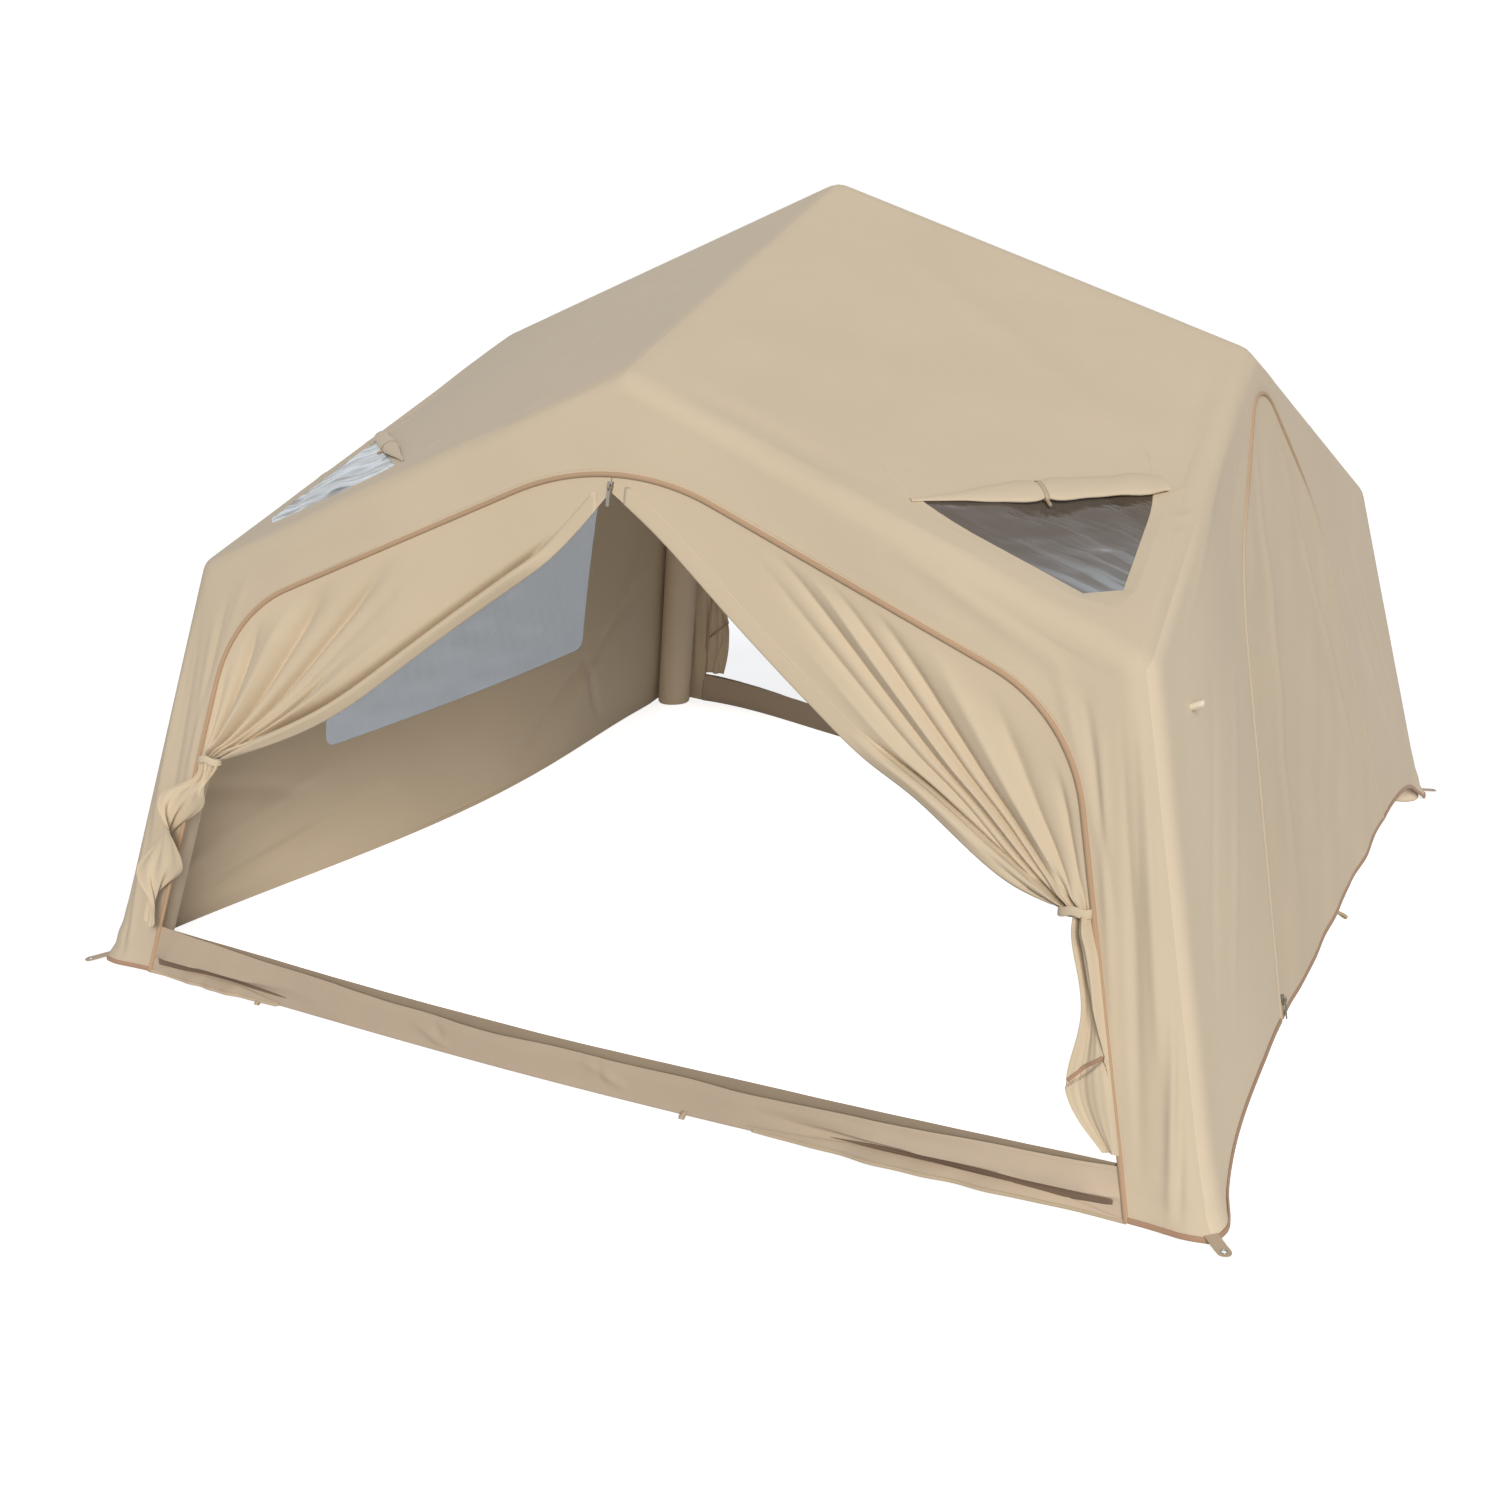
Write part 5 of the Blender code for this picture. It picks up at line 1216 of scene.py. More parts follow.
def curtain_tail(inner_edge, folds, count, phase, rows=110, columns=90):
    """(across, up, out) grid of a tail between its inner edge's spline and the jamb.

    Outwards it adds up pleats that grow shallower on the way down, ridges beside given lines
    and a swelling just under the strap, and it dies out at the jamb.
    """
    up = np.linspace(TIE - WAIST_STRAIGHT / 2, slant(SILL_HEIGHT) + 0.003, rows)[:, None]
    share, down = np.linspace(0, 1, columns), np.linspace(0, 1, rows)[:, None]
    let_go = smooth(down * 5)
    inner = spline(*inner_edge, up)
    outer = jamb_at(0.0, up) - (TIE_CLEARANCE * (1 - let_go) - TAIL_PRESS * let_go + EDGE_GAP)
    across = inner + (outer - inner) * share
    depth = WAIST_DEPTH * (1 - down) ** 2 * half_round(share) + 0.007 * down * (1 - share) ** 0.5
    out = depth * pleats(share, count, phase, 0.03)
    for line, width, height in folds:
        out = out + height * ridge(across, up, np.array(line), width)
    out = out * np.clip((outer - across) / 0.012, 0, 1) + TAIL_PROUD * let_go
    return grid_of(across, up, out + 0.010 * bell(down, 0.07, 0.05) * half_round(share))


TWIST_PATH = ([0.10, 0.164, 0.247, 0.344, 0.456, 0.562], [1.302, 1.300, 1.290, 1.268, 1.230, 1.157])
TWIST_START, TWIST_TURNS, TWIST_LIFT, TWIST_FLATNESS = -1.45, 1.20, 0.036, 0.42


def twisted_tail(rows=150, columns=70):
    """(across, up, out) grid of a tail twisted into a ribbon round a spline.

    Every row is a shallow curve whose direction turns with the way down. In the first fifth it
    is let go from the strap's gathers, and the last tenth hangs in a rounded tip.
    """
    down = np.linspace(0, 1, rows)[:, None]
    share = np.linspace(-1, 1, columns)
    up = (TIE - WAIST_STRAIGHT / 2) * (1 - down) + (slant(SILL_HEIGHT) + 0.012) * down
    half = 0.040 + 0.034 * smooth(down / 0.22) - 0.052 * smooth((down - 0.62) / 0.38)
    turn = 2 * math.pi * TWIST_TURNS * (down - 0.02 * np.sin(2 * math.pi * 2 * down)) + TWIST_START
    curl = half * (0.34 * (share ** 2 - 0.35) + 0.10 * np.sin(3 * math.pi * share + 5 * down))
    across = spline(*TWIST_PATH, up) + half * share * np.cos(turn) - curl * np.sin(turn)
    out = TWIST_LIFT + TWIST_FLATNESS * (half * share * np.sin(turn) + curl * np.cos(turn))
    waist = WAIST_MIDDLE + share * WAIST_WIDTH / 2
    gathers = WAIST_DEPTH * half_round((1 + share) / 2) * pleats((1 + share) / 2, 5, 0.9) + 0.004
    released = smooth(down / 0.20)
    across = waist + (across - waist) * released
    out = gathers + (out - gathers) * released
    tip = 0.010 * smooth((down - 0.9) / 0.1) * np.cos(2.2 * share)
    return grid_of(across, up - tip, out)


def ridge(across, up, line, width):
    """A step-like ridge beside a line of points: it rises sharply at the line and fades on one side."""
    places = grid_of(across, up)
    best, signed = np.full(places.shape[:-1], np.inf), np.zeros(places.shape[:-1])
    for start, end in zip(line, line[1:]):
        run, away = end - start, places - start
        gap = near_segment(places, start, end)[1]
        side = np.sign(run[0] * away[..., 1] - run[1] * away[..., 0])
        signed = np.where(gap < best, gap * side, signed)
        best = np.minimum(best, gap)
    return np.where(signed > 0, np.exp(-signed / width) * smooth(signed / 0.003), 0.0)


# %% Sags and folds of the curtains
LEFT_SAG = ([0, 0.13, 0.25, 0.37, 0.51, 0.64, 0.80, 1.0], [0, 0.060, 0.072, 0.076, 0.086, 0.092, 0.066, 0])
RIGHT_SAG = ([0, 0.11, 0.26, 0.49, 0.60, 0.70, 0.82, 0.92, 1.0],
             [0, 0.002, 0.026, 0.056, 0.060, 0.045, 0.046, 0.034, 0])
BACK_SAG = ([0, 0.3, 0.6, 1.0], [0, 0.06, 0.08, 0])
LEFT_FOLDS = [
    (0.15, 0.18, 0.050, 0.010, 0.30), (0.24, 0.25, 0.026, -0.026, 0.45), (0.34, 0.31, 0.055, -0.010, 0.05),
    (0.45, 0.41, 0.036, -0.030, 0.0), (0.60, 0.55, 0.036, -0.030, 0.0), (0.68, 0.62, 0.050, 0.014, 0.05),
    (0.76, 0.72, 0.028, -0.022, 0.05), (0.87, 0.83, 0.030, -0.016, 0.1)]
RIGHT_FOLDS = [
    (0.12, 0.14, 0.035, 0.006, 0.30), (0.21, 0.22, 0.034, -0.010, 0.10), (0.30, 0.31, 0.028, -0.014, 0.0),
    (0.355, 0.365, 0.024, 0.008, 0.0), (0.405, 0.42, 0.024, -0.015, 0.0), (0.485, 0.50, 0.028, -0.017, 0.0),
    (0.58, 0.58, 0.045, 0.010, 0.02), (0.68, 0.67, 0.032, -0.010, 0.10), (0.81, 0.80, 0.030, -0.010, 0.20)]
BACK_FOLDS = [(0.2, 0.22, 0.03, -0.02, 0.0), (0.36, 0.38, 0.03, -0.024, 0.0), (0.55, 0.56, 0.03, -0.02, 0.05),
              (0.74, 0.76, 0.03, -0.02, 0.1)]
RIGHT_TAIL_EDGE = ([0.109, 0.135, 0.171, 0.239, 0.322, 0.394, 0.482, 0.568, 0.60],
                   [1.292, 1.268, 1.230, 1.185, 1.187, 1.195, 1.177, 1.155, 1.156])
BACK_TAIL_EDGE = ([0.109, 0.25, 0.40, 0.568, 0.60], [1.225, 1.175, 1.160, 1.158, 1.156])
RIGHT_TAIL_FOLDS = [(((1.166, 0.60), (1.190, 0.50), (1.225, 0.40), (1.252, 0.321)), 0.03, 0.016),
                    (((1.252, 0.321), (1.222, 0.285), (1.182, 0.252)), 0.04, 0.010)]
BACK_TAIL_FOLDS = [(((1.16, 0.59), (1.20, 0.47), (1.17, 0.36)), 0.03, 0.016),
                   (((1.17, 0.36), (1.25, 0.30)), 0.03, 0.014), (((1.20, 0.28), (1.24, 0.20)), 0.02, 0.012)]
BEHIND = np.array([0, 0, 0.0006])


# %% Curtain pieces

def hang(side, hand, sign, rays, tail):
    """Makes one curtain and its tail from their grids; gives each piece, its places and its area."""
    made = []
    for name, grid, stands_for in (("curtain", rays, [f"{side}_curtain_{hand}"]), ("curtain_tail", tail, [])):
        places = laid(wall_frame(side), grid * [sign, 1, 1] - BEHIND)
        along, down = running(steps_along(places, 1).max(axis=0)), running(steps_along(places).mean(axis=1))
        piece = sheet_piece(f"{side}_{name}_cloth_{hand}", places, grid_of(along, down[:, None]),
                            wall_frame(side)[3], curtain_cloth, stands_for)
        made.append((piece, places, quad_areas(places).sum()))
        print(piece.name, "cloth in it", round(made[-1][2], 3), "m2")
    return made


HUNG = {
    ("front", "left"): hang(
        "front", "left", -1, curtain_rays(LEFT_SAG, LEFT_FOLDS, 5, 0.9, (0.050, 0.10, 0.99), 0.009, 0.66),
        twisted_tail()),
    ("front", "right"): hang(
        "front", "right", 1, curtain_rays(RIGHT_SAG, RIGHT_FOLDS, 4, 2.1, (0.030, 0.55, 1.0), 0.010, 0.74),
        curtain_tail(RIGHT_TAIL_EDGE, RIGHT_TAIL_FOLDS, 1, 2.1)),
    ("back", "left"): hang(
        "back", "left", 1, curtain_rays(BACK_SAG, BACK_FOLDS, 7, 0.3, (0.02, 0.2, 1.0)),
        curtain_tail(BACK_TAIL_EDGE, BACK_TAIL_FOLDS, 2, 0.3)),
    ("back", "right"): hang(
        "back", "right", -1, curtain_rays(BACK_SAG, BACK_FOLDS, 8, 1.4, (0.02, 0.3, 1.0)),
        curtain_tail(BACK_TAIL_EDGE, RIGHT_TAIL_FOLDS, 2, 1.4)),
}

# %% [markdown]
# ## Doubled hems of the curtains
# The free edge of a curtain is folded over and sewn down, so a band about 5 cm wide is two
# cloths thick and holds itself a little straighter. It is a closed band that follows the
# curtain's first columns, a thread's width proud of it, with a line of stitches beside it.
# %% Curtain hems
HEM_WIDTH, HEM_COLUMNS = 0.048, 14


def normals_of(grid):
    """Unit normals of a grid of places, from the directions of its rows and columns."""
    return unit(np.cross(np.gradient(grid, axis=1), np.gradient(grid, axis=0)))


def at_columns(grid, columns):
    """Places of a grid at fractional columns, one row of them for each of its rows."""
    low = np.clip(np.floor(columns).astype(int), 0, grid.shape[1] - 2)
    part = (columns - low)[..., None]
    row = np.arange(grid.shape[0])[:, None]
    return grid[row, low] * (1 - part) + grid[row, low + 1] * part


def columns_within(grid, width, count):
    """Fractional columns that divide a strip of a given width beside the grid's first column."""
    run = np.cumsum(steps_along(grid, 1), axis=1)
    reach = np.minimum((run < width).sum(axis=1) + 1.0, grid.shape[1] * 0.32)
    soft = np.convolve(np.pad(reach, 6, mode="edge"), np.ones(13) / 13, mode="valid")
    return soft[:, None] * np.linspace(0, 1, count)


HEM_PROUD, HEM_REACH_OUT = 0.0014, 0.0016
for (side, hand), ((piece, places, area), (tail, tail_places, tail_area)) in HUNG.items():
    lift = normals_of(places)
    lift *= np.sign((lift @ wall_frame(side)[3]).mean())
    columns = columns_within(places, HEM_WIDTH, HEM_COLUMNS)
    face, way = at_columns(places, columns), at_columns(lift, columns)
    edge = unit(face[:, :1] - face[:, 1:2]) * HEM_REACH_OUT * np.linspace(1, 0, HEM_COLUMNS)[None, :, None]
    proud = HEM_PROUD * np.sin(np.linspace(0.25, 0.92, HEM_COLUMNS) * math.pi)[None, :, None]
    front, rear = face + way * proud + edge, face - way * (SHEET + proud) + edge
    rings = np.concatenate([front, rear[:, ::-1]], axis=1)
    hem = tube_piece(f"{side}_curtain_hem_{hand}", rings[4:-2], curtain_cloth)
    sewn = at_columns(lift, columns[:, -2:-1])[:, 0]
    line = at_columns(places, columns[:, -2:-1])[:, 0] + sewn * 0.0009
    seam = stitch_marks(f"{side}_curtain_stitches_{hand}", line[5:-12], sewn[5:-12])

tail_places = HUNG["front", "right"][1][1]
tail_plan = flat(FRONT, tail_places)
line = spread(np.array([(1.184, 0.262), (1.215, 0.296), (1.250, 0.322)]), 40)
gaps = np.linalg.norm(tail_plan[None] - line[:, None, None], axis=-1).reshape(len(line), -1)
out = (tail_places.reshape(-1, 3) - FRONT[0]) @ FRONT[3]
height = np.convolve(np.pad(out[gaps.argmin(axis=1)], 3, mode="edge"), np.ones(7) / 7, mode="valid")
tape = strip(put(FRONT, line[:, 0], line[:, 1], height + 0.001), FRONT[3], low_round(0.008, 0.0014))
tube_piece("front_tail_tape_right", tape, tape_cloth)

# %% [markdown]
# ## Sills
# The sill is one strip of cloth folded along the floor: its outer layer sags between the
# jambs and its inner layer stands straight. The section is a long narrow U, carried from
# jamb to jamb, and the whole strip is bowed as its CAD solid is.
# %% Sills
SILL_SAG, SILL_END_SPACE, SILL_SPACE, SILL_COLUMNS = 0.045, 0.003, 0.022, 240
OVERHANG, OVERHANG_LEVEL, OVERHANG_ABOVE, OVERHANG_BELOW = 0.030, 0.050, 0.024, 0.0035
SILL_BOWS = {"front": -0.035, "back": 0.33}
OUTER_ROWS, TURN_ROWS, INNER_ROWS = 26, 9, 20
SILL_CREASES = (
    ((-0.42, 0.06), (-0.30, 0.02), 0.010, 0.006), ((-0.36, 0.08), (-0.33, 0.03), 0.007, -0.005),
    ((0.06, 0.08), (0.20, 0.03), 0.012, 0.006), ((0.10, 0.09), (0.13, 0.03), 0.008, -0.005),
    ((0.50, 0.05), (1.10, 0.025), 0.014, -0.012), ((0.62, 0.08), (1.15, 0.07), 0.016, 0.006),
    ((-1.25, 0.045), (-0.85, 0.020), 0.014, -0.012), ((-1.20, 0.09), (-0.70, 0.05), 0.016, 0.006))


def sill_grid(side):
    """Places of the folded strip: down its outer layer, round the fold and up its inner layer.

    Its upper edges sag as one less the square of the share along. Soft waves and creases swell
    the outer layer, an overhang stands out at its ends, and the whole strip bows as the square
    of one less that square.
    """
    share = np.linspace(-1, 1, SILL_COLUMNS)[None]
    middle = 1 - share ** 2
    tall, foot = slant(SILL_HEIGHT), HEM_LIFT + 0.006
    right_end = 0.020 * smooth((share - 0.1) / 0.9) if side == "front" else 0.0
    ripple = 0.0025 * np.sin(9.7 * share + 0.6) * middle + 0.0018 * np.sin(23 * share + 1.9) * middle
    outer_top = tall - SILL_SAG * middle - right_end + ripple
    inner_top = tall - (0.004 + 0.022 * middle + 0.6 * right_end)
    depth = 0.004 + SILL_END_SPACE + (SILL_SPACE - SILL_END_SPACE) * middle
    down, rise = (np.linspace(0, 1, rows)[:, None] for rows in (OUTER_ROWS, INNER_ROWS))
    angle = np.linspace(0, math.pi, TURN_ROWS + 2)[1:-1, None]
    plan = np.concatenate([
        grid_of(share, outer_top + (foot - outer_top) * down, 0.0),
        grid_of(share, foot - 0.005 * np.sin(angle), -depth * (1 - np.cos(angle)) / 2),
        grid_of(share, foot + (inner_top - foot) * rise, -depth)])
    up = plan[..., 1]
    across = plan[..., 0] * jamb_at(EDGE_GAP, up)
    flat_plan, swell = grid_of(across, up), np.zeros(up.shape)
    outer, inner = slice(OUTER_ROWS), slice(OUTER_ROWS + TURN_ROWS, None)
    swell[outer] = soft_waves(flat_plan[outer], 81, 0.010, 0.10, 0.7, 8)
    swell[outer] += creases(flat_plan[outer], SILL_CREASES)
    swell[inner] = soft_waves(flat_plan[inner], 82, 0.006, 0.15, 0.9, 6)
    swell *= np.clip((1 - np.abs(share)) / 0.03, 0, 1) * np.clip(up / 0.02 - 0.4, 0, 1)
    above = up - OVERHANG_LEVEL
    overhang = OVERHANG * np.exp(-np.abs(above) / np.where(above > 0, OVERHANG_ABOVE, OVERHANG_BELOW))
    ends = smooth((share - 0.42) / 0.25) + smooth((-share - 0.62) / 0.2)
    swell[outer] += (overhang * ends * np.clip((1 - np.abs(share)) / 0.05, 0, 1))[outer]
    swell[outer] -= 0.006 * bell(down, 0, 0.14) * middle
    bow = (SILL_BOWS[side] * (1 - plan[..., 0] ** 2) ** 2)[..., None] * turned((0, 1, 0), SIDES[side])
    return put(wall_frame(side), across, up, plan[..., 2] + swell) + bow


# %% Sill pieces
SILL_FOLD_SHADOWS = {"right": (0.76, 0.995, 0.033, 1.1, 0.40), "left": (0.010, 0.19, 0.035, 0.20, 0.9)}


def sill_fold_shadows(places):
    """Painted shadow: dark strips in the folds under the sill's ends, each between two shares of its length.
    """
    facing = normals_of(places.transpose(1, 0, 2))
    facing *= np.sign((facing @ FRONT[3]).mean())
    heights = (places - FRONT[0]) @ FRONT[2]
    made = []
    for hand, (low, high, level, grown, fallen) in SILL_FOLD_SHADOWS.items():
        first, last = int(SILL_COLUMNS * low), int(SILL_COLUMNS * high)
        row = int(np.argmin(np.abs(heights[:, (first + last) // 2] - level)))
        share = np.linspace(0.02, 0.99, last - first)
        width = share ** grown * (1 - share) ** fallen
        fold = strip(places[row, first:last] + facing[first:last, row] * 0.0012, facing[first:last, row],
                     low_round(0.028, 0.0016), scale=(width / width.max())[:, None] * np.ones((1, 2)))
        made.append(tube_piece(f"front_sill_fold_{hand}", fold, fold_shadow_finish))
    return made


for side in ("front", "back"):
    places, outward = sill_grid(side), wall_frame(side)[3]
    loose, quads = places.reshape(-1, 3), quads_of(*places.shape[:2])
    girth, along = running(steps_along(places).mean(axis=1)), running(steps_along(places[0]))
    first = quads[:(OUTER_ROWS - 1) * (SILL_COLUMNS - 1)]
    quads = quads if (face_along(loose, first, outward) == first).all() else quads[:, ::-1]
    sill = new_piece(f"{side}_sill_cloth", loose, quads, sill_cloth, [f"{side}_sill"],
                     uv=grid_of(along, girth[:, None]).reshape(-1, 2), thickness=SHEET)
    # The front sill's inner layer takes the darker finish, painted shade in the fold.
    inner_cells = (np.arange(len(quads)) >= (OUTER_ROWS + 2) * (SILL_COLUMNS - 1)) & (side == "front")
    painted_shade_index = np.zeros(len(sill.data.polygons), int)
    painted_shade_index[:2 * len(quads)] = np.tile(inner_cells, 2)
    sill.data.materials.append(sill_inner_shade)
    sill.data.polygons.foreach_set("material_index", painted_shade_index)
    trims = [stitch_marks(f"{side}_sill_stitches", places[2, 2:-2] + outward * 0.0006, outward)]
    if side == "front":
        # Strips of painted shadow in the folds under the sill's ends.
        trims += sill_fold_shadows(places[:OUTER_ROWS])

# %% [markdown]
# ## Hem lips
# Outside the sill lies a loose hem that turns out on the floor, bound in brown tape. Its
# height rises from the inner end and falls again towards the foot, beside the jamb.
# %% Hem lips
LIP_HEIGHT, LIP_COLUMNS, LIP_ROWS, LIP_END = 0.025, 150, 12, 1.335
NARROW_TAPE = low_round(0.008, 0.0014)


def hem_bow(across):
    """How far the front hem stands out on the floor: most at the middle, none at the jambs."""
    share = np.clip(np.abs(across) / jamb_at(EDGE_GAP, HEM_LIFT), 0, 1)
    return -SILL_BOWS["front"] * (1 - share ** 2) ** 2


def hem_lip(sign, inner_end, flare):
    """(across, up, out) grid of a loose hem from a place on the sill out to the foot.

    It stands out by a power of the way down, times a swell along it and a ripple of two waves.
    """
    share = np.linspace(0, 1, LIP_COLUMNS)[None]
    down = np.linspace(0, 1, LIP_ROWS)[:, None]
    across = inner_end + (LIP_END - inner_end) * share
    swell = np.sin(np.clip(share / 0.92, 0, 1) * math.pi) ** 1.3
    tall = LIP_HEIGHT * (0.35 + 0.65 * smooth(share / 0.35)) * (1 - 0.75 * smooth((share - 0.8) / 0.2))
    ripple = 1 + 0.18 * np.sin(19 * share + 0.5) + 0.12 * np.sin(41 * share)
    out = 0.0022 + flare * swell * down ** 0.8 * ripple + hem_bow(across)
    return grid_of(sign * across, HEM_LIFT + tall * (1 - down), out)


for hand, sign, inner_end, flare in (("left", -1, 0.86, 0.020), ("right", 1, 0.50, 0.026)):
    grid = hem_lip(sign, inner_end, flare)
    places = laid(FRONT, grid)
    lip = sheet_piece(f"front_hem_lip_{hand}", places, grid[..., :2], FRONT[3], sill_cloth)
    edge = tube_piece(f"front_hem_tape_{hand}", strip(places[-2, 2:-1], FRONT[3], NARROW_TAPE),
                      webbing_cloth)

# %% [markdown]
# ## Hem tapes and small tabs
# The hems of the side walls and of the front feet are bound in brown tape, which follows each
# cloth's own lowest edge. A few small loops of webbing, each one folded strip, are sewn on.
# %% Hem tapes and small tabs
TAPE_LIFT, TAPE_PROUD = np.array([0, 0, 0.006]), 0.0004
HEM_LINES = {
    "right_hem_tape_front": (right_hem_ends[0], RIGHT), "right_hem_tape_back": (right_hem_ends[1], RIGHT),
    "front_foot_tape_right": (front_hem_ends[0], FRONT), "front_foot_tape_left": (front_hem_ends[1], FRONT),
    "right_door_hem_tape": (door_hem, RIGHT), "left_hem_tape": (left_hem, LEFT)}
for name, (line, (*_, outward)) in HEM_LINES.items():
    lifted = spread(line, 120)[1:-1] + TAPE_LIFT + outward * TAPE_PROUD
    tube_piece(name, strip(lifted, outward, low_round(0.012, 0.0018)), tape_cloth)


def loop_tab(name, place, out_way, wide_way, reach=0.030, thick=0.0016, width=0.014, finish=webbing_cloth):
    """One folded loop of webbing: out from its seam, round, and back beside itself."""
    out_way, wide_way = unit(out_way), unit(wide_way)
    turn = np.linspace(0.06, 2 * math.pi - 0.06, 40)[:, None]
    bulge = 0.5 - 0.5 * np.cos(turn)
    apart = np.sin(turn) * (0.0012 + 0.0035 * bulge)
    line = place + bulge * reach * out_way + apart * np.cross(out_way, wide_way)
    section = np.array([(-0.5, -0.5), (0.5, -0.5), (0.5, 0.5), (-0.5, 0.5)]) * [width, thick]
    tube_piece(name, strip(line, np.cross(wide_way, np.gradient(line, axis=0)), section), finish)


loop_tab("guy_loop_right", put(RIGHT, -1.059, 0.960, 0.001), RIGHT[3] + RIGHT[2] * 0.2, RIGHT[2],
         finish=pale_webbing)
loop_tab("hem_loop_right", put(RIGHT, -0.05, 0.147, 0.001), RIGHT[3] - RIGHT[2] * 0.8, RIGHT[1])
for name, across in (("sill_loop_left", -0.925), ("sill_loop_right", 0.345)):
    loop_tab(name, put(FRONT, across, 0.010, hem_bow(across) + 0.001), FRONT[3] - FRONT[2] * 0.9, FRONT[1],
             reach=0.020, width=0.012)

# %% [markdown]
# ## Rolled window covers
# Each roof window has a flap of cloth that is rolled up along its upper edge and held by a
# toggle at its middle. The roll is a soft spiral: its section is a flattened coil of cloth
# that tapers at both ends, and it dents where the toggle's loop holds it. The front left roll
# is tighter than the other three and lies higher, so it covers less of its window.
# %% Window covers
COVER_HALF, COVER_THICKNESS, COVER_RINGS, COVER_TURNS, COVER_STEPS = 0.30, 0.02, 90, 1.8, 64
TIGHT_ROLL, LOOSE_ROLL = (0.046, 0.006), (0.078, 0.052)
LOOP_SECTION = np.array([(-0.005, -0.0004), (0.005, -0.0004), (0.005, 0.0010), (-0.005, 0.0010)])
BEAD_RADIUS, BEAD_HALF, BEAD_PROUD = 0.0042, 0.014, 0.0080


def roll_size(corner):
    """Width of a roll, and how far it reaches below the window's upper edge."""
    return TIGHT_ROLL if corner == "front_left" else LOOSE_ROLL


def cover_roll(corner, seed):
    """Grid of a rolled flap: rows along the roll, columns from the sewn edge into the coil.

    A section is a flattened spiral: sine and cosine of an angle, on a radius that shrinks.
    Its thin end points to the front or back wall's peak, so neighbours mirror each other.
    """
    draw = np.random.default_rng(seed)
    hand = -CORNERS[corner][0] * CORNERS[corner][1]
    roll_width, roll_low = roll_size(corner)
    along = np.linspace(-COVER_HALF + 0.002, COVER_HALF - 0.002, COVER_RINGS)[:, None]
    taper = 1 - 0.88 * smooth((-hand * along - 0.02) / 0.28) - 0.30 * smooth((hand * along - 0.24) / 0.06)
    held = 1 - 0.22 * bell(along, 0, 0.014)
    uneven = 1 + sum(0.035 * np.sin(2 * math.pi * along / length + draw.uniform(0, 6))
                     for length in (0.31, 0.17, 0.09))
    angle = np.linspace(0, 2 * math.pi * COVER_TURNS, COVER_STEPS)[None]
    inward = 1 - 0.30 * angle / angle.max()
    wide = roll_width / 2 * taper * held * uneven * inward
    high = COVER_THICKNESS / 2 * 0.90 * (0.12 + 0.88 * taper)
    up = WIDE[1] + roll_width / 2 - roll_low + 0.006 * (1 - taper) + wide * np.sin(angle + 0.5)
    return put(roof_frame(corner), along, up, 0.0014 + high - high * uneven * inward * np.cos(angle + 0.5))


for number, corner in enumerate(CORNERS):
    place_frame, places = roof_frame(corner), cover_roll(corner, 90 + number)
    roll_width, roll_low = roll_size(corner)
    girth = running(steps_along(places, 1).mean(axis=0))
    uv = grid_of(np.linspace(0, 2 * COVER_HALF, COVER_RINGS)[:, None], girth)
    quads = quads_of(*places.shape[:2])[:, ::-1]
    roll = new_piece(f"roof_cover_{corner}", places.reshape(-1, 3), quads, canvas,
                     [f"roof_window_cover_{corner}"], uv=uv.reshape(-1, 2), thickness=COVER_SHEET)
    middle_up, middle_out = WIDE[1] + roll_width / 2 - roll_low, COVER_THICKNESS / 2
    turn = np.linspace(0, 2 * math.pi, 40, endpoint=False)
    ring = put(place_frame, 0.0, middle_up + (roll_width / 2 * 0.80 + 0.0012) * np.cos(turn),
               0.0012 + middle_out + (middle_out * 0.80 + 0.0010) * np.sin(turn))
    rings = strip(ring, ring - put(place_frame, 0.0, middle_up, middle_out), LOOP_SECTION, joined=True)
    loop = tube_piece(f"roof_cover_loop_{corner}", rings, webbing_cloth, joined=True)
    share = np.linspace(-1, 1, 15)[:, None]
    radius = BEAD_RADIUS * np.sqrt(np.clip(1.02 - share ** 4, 0, 1))
    turn = np.linspace(0, 2 * math.pi, 16, endpoint=False)
    bead = put(place_frame, radius * np.cos(turn), WIDE[1] - roll_low + share * BEAD_HALF,
               BEAD_PROUD + radius * np.sin(turn))
    toggle = tube_piece(f"roof_cover_toggle_{corner}", bead, toggle_finish)

# %% [markdown]
# ## Straps and peg tabs
# A strap of cloth goes round each tied curtain and is sewn to the inside of the jamb. At
# every foot a loop of webbing with a pressed eye takes a ground peg.
# %% Tie straps
STRAP, STRAP_WIDTH, STRAP_LANDING, STRAP_COUNT = 0.0020, 0.019, 0.045, 110
STRAP_SECTION = np.array([
    (-0.5, 0), (-0.48, 0.5), (-0.4, 0.62), (0.4, 0.62), (0.48, 0.5), (0.5, 0), (0.4, -0.3), (-0.4, -0.3)
]) * [STRAP_WIDTH, STRAP]
angle = np.linspace(-0.16, 2 * math.pi - 0.22, 72)
ring = grid_of(WAIST_MIDDLE + (WAIST_WIDTH / 2 + 0.0022) * np.cos(angle),
               (WAIST_DEPTH + 0.0030) * np.sin(angle) - 0.0015)
landing = grid_of(np.linspace(ring[-1, 0], jamb_at(0.0, TIE) + STRAP_LANDING, 16)[1:], -0.0044)
line = spread(np.concatenate([ring, landing]), STRAP_COUNT)
crooked = 0.0035 * np.sin(np.linspace(0, 9, STRAP_COUNT)) + 0.002 * np.sin(np.linspace(1, 31, STRAP_COUNT))
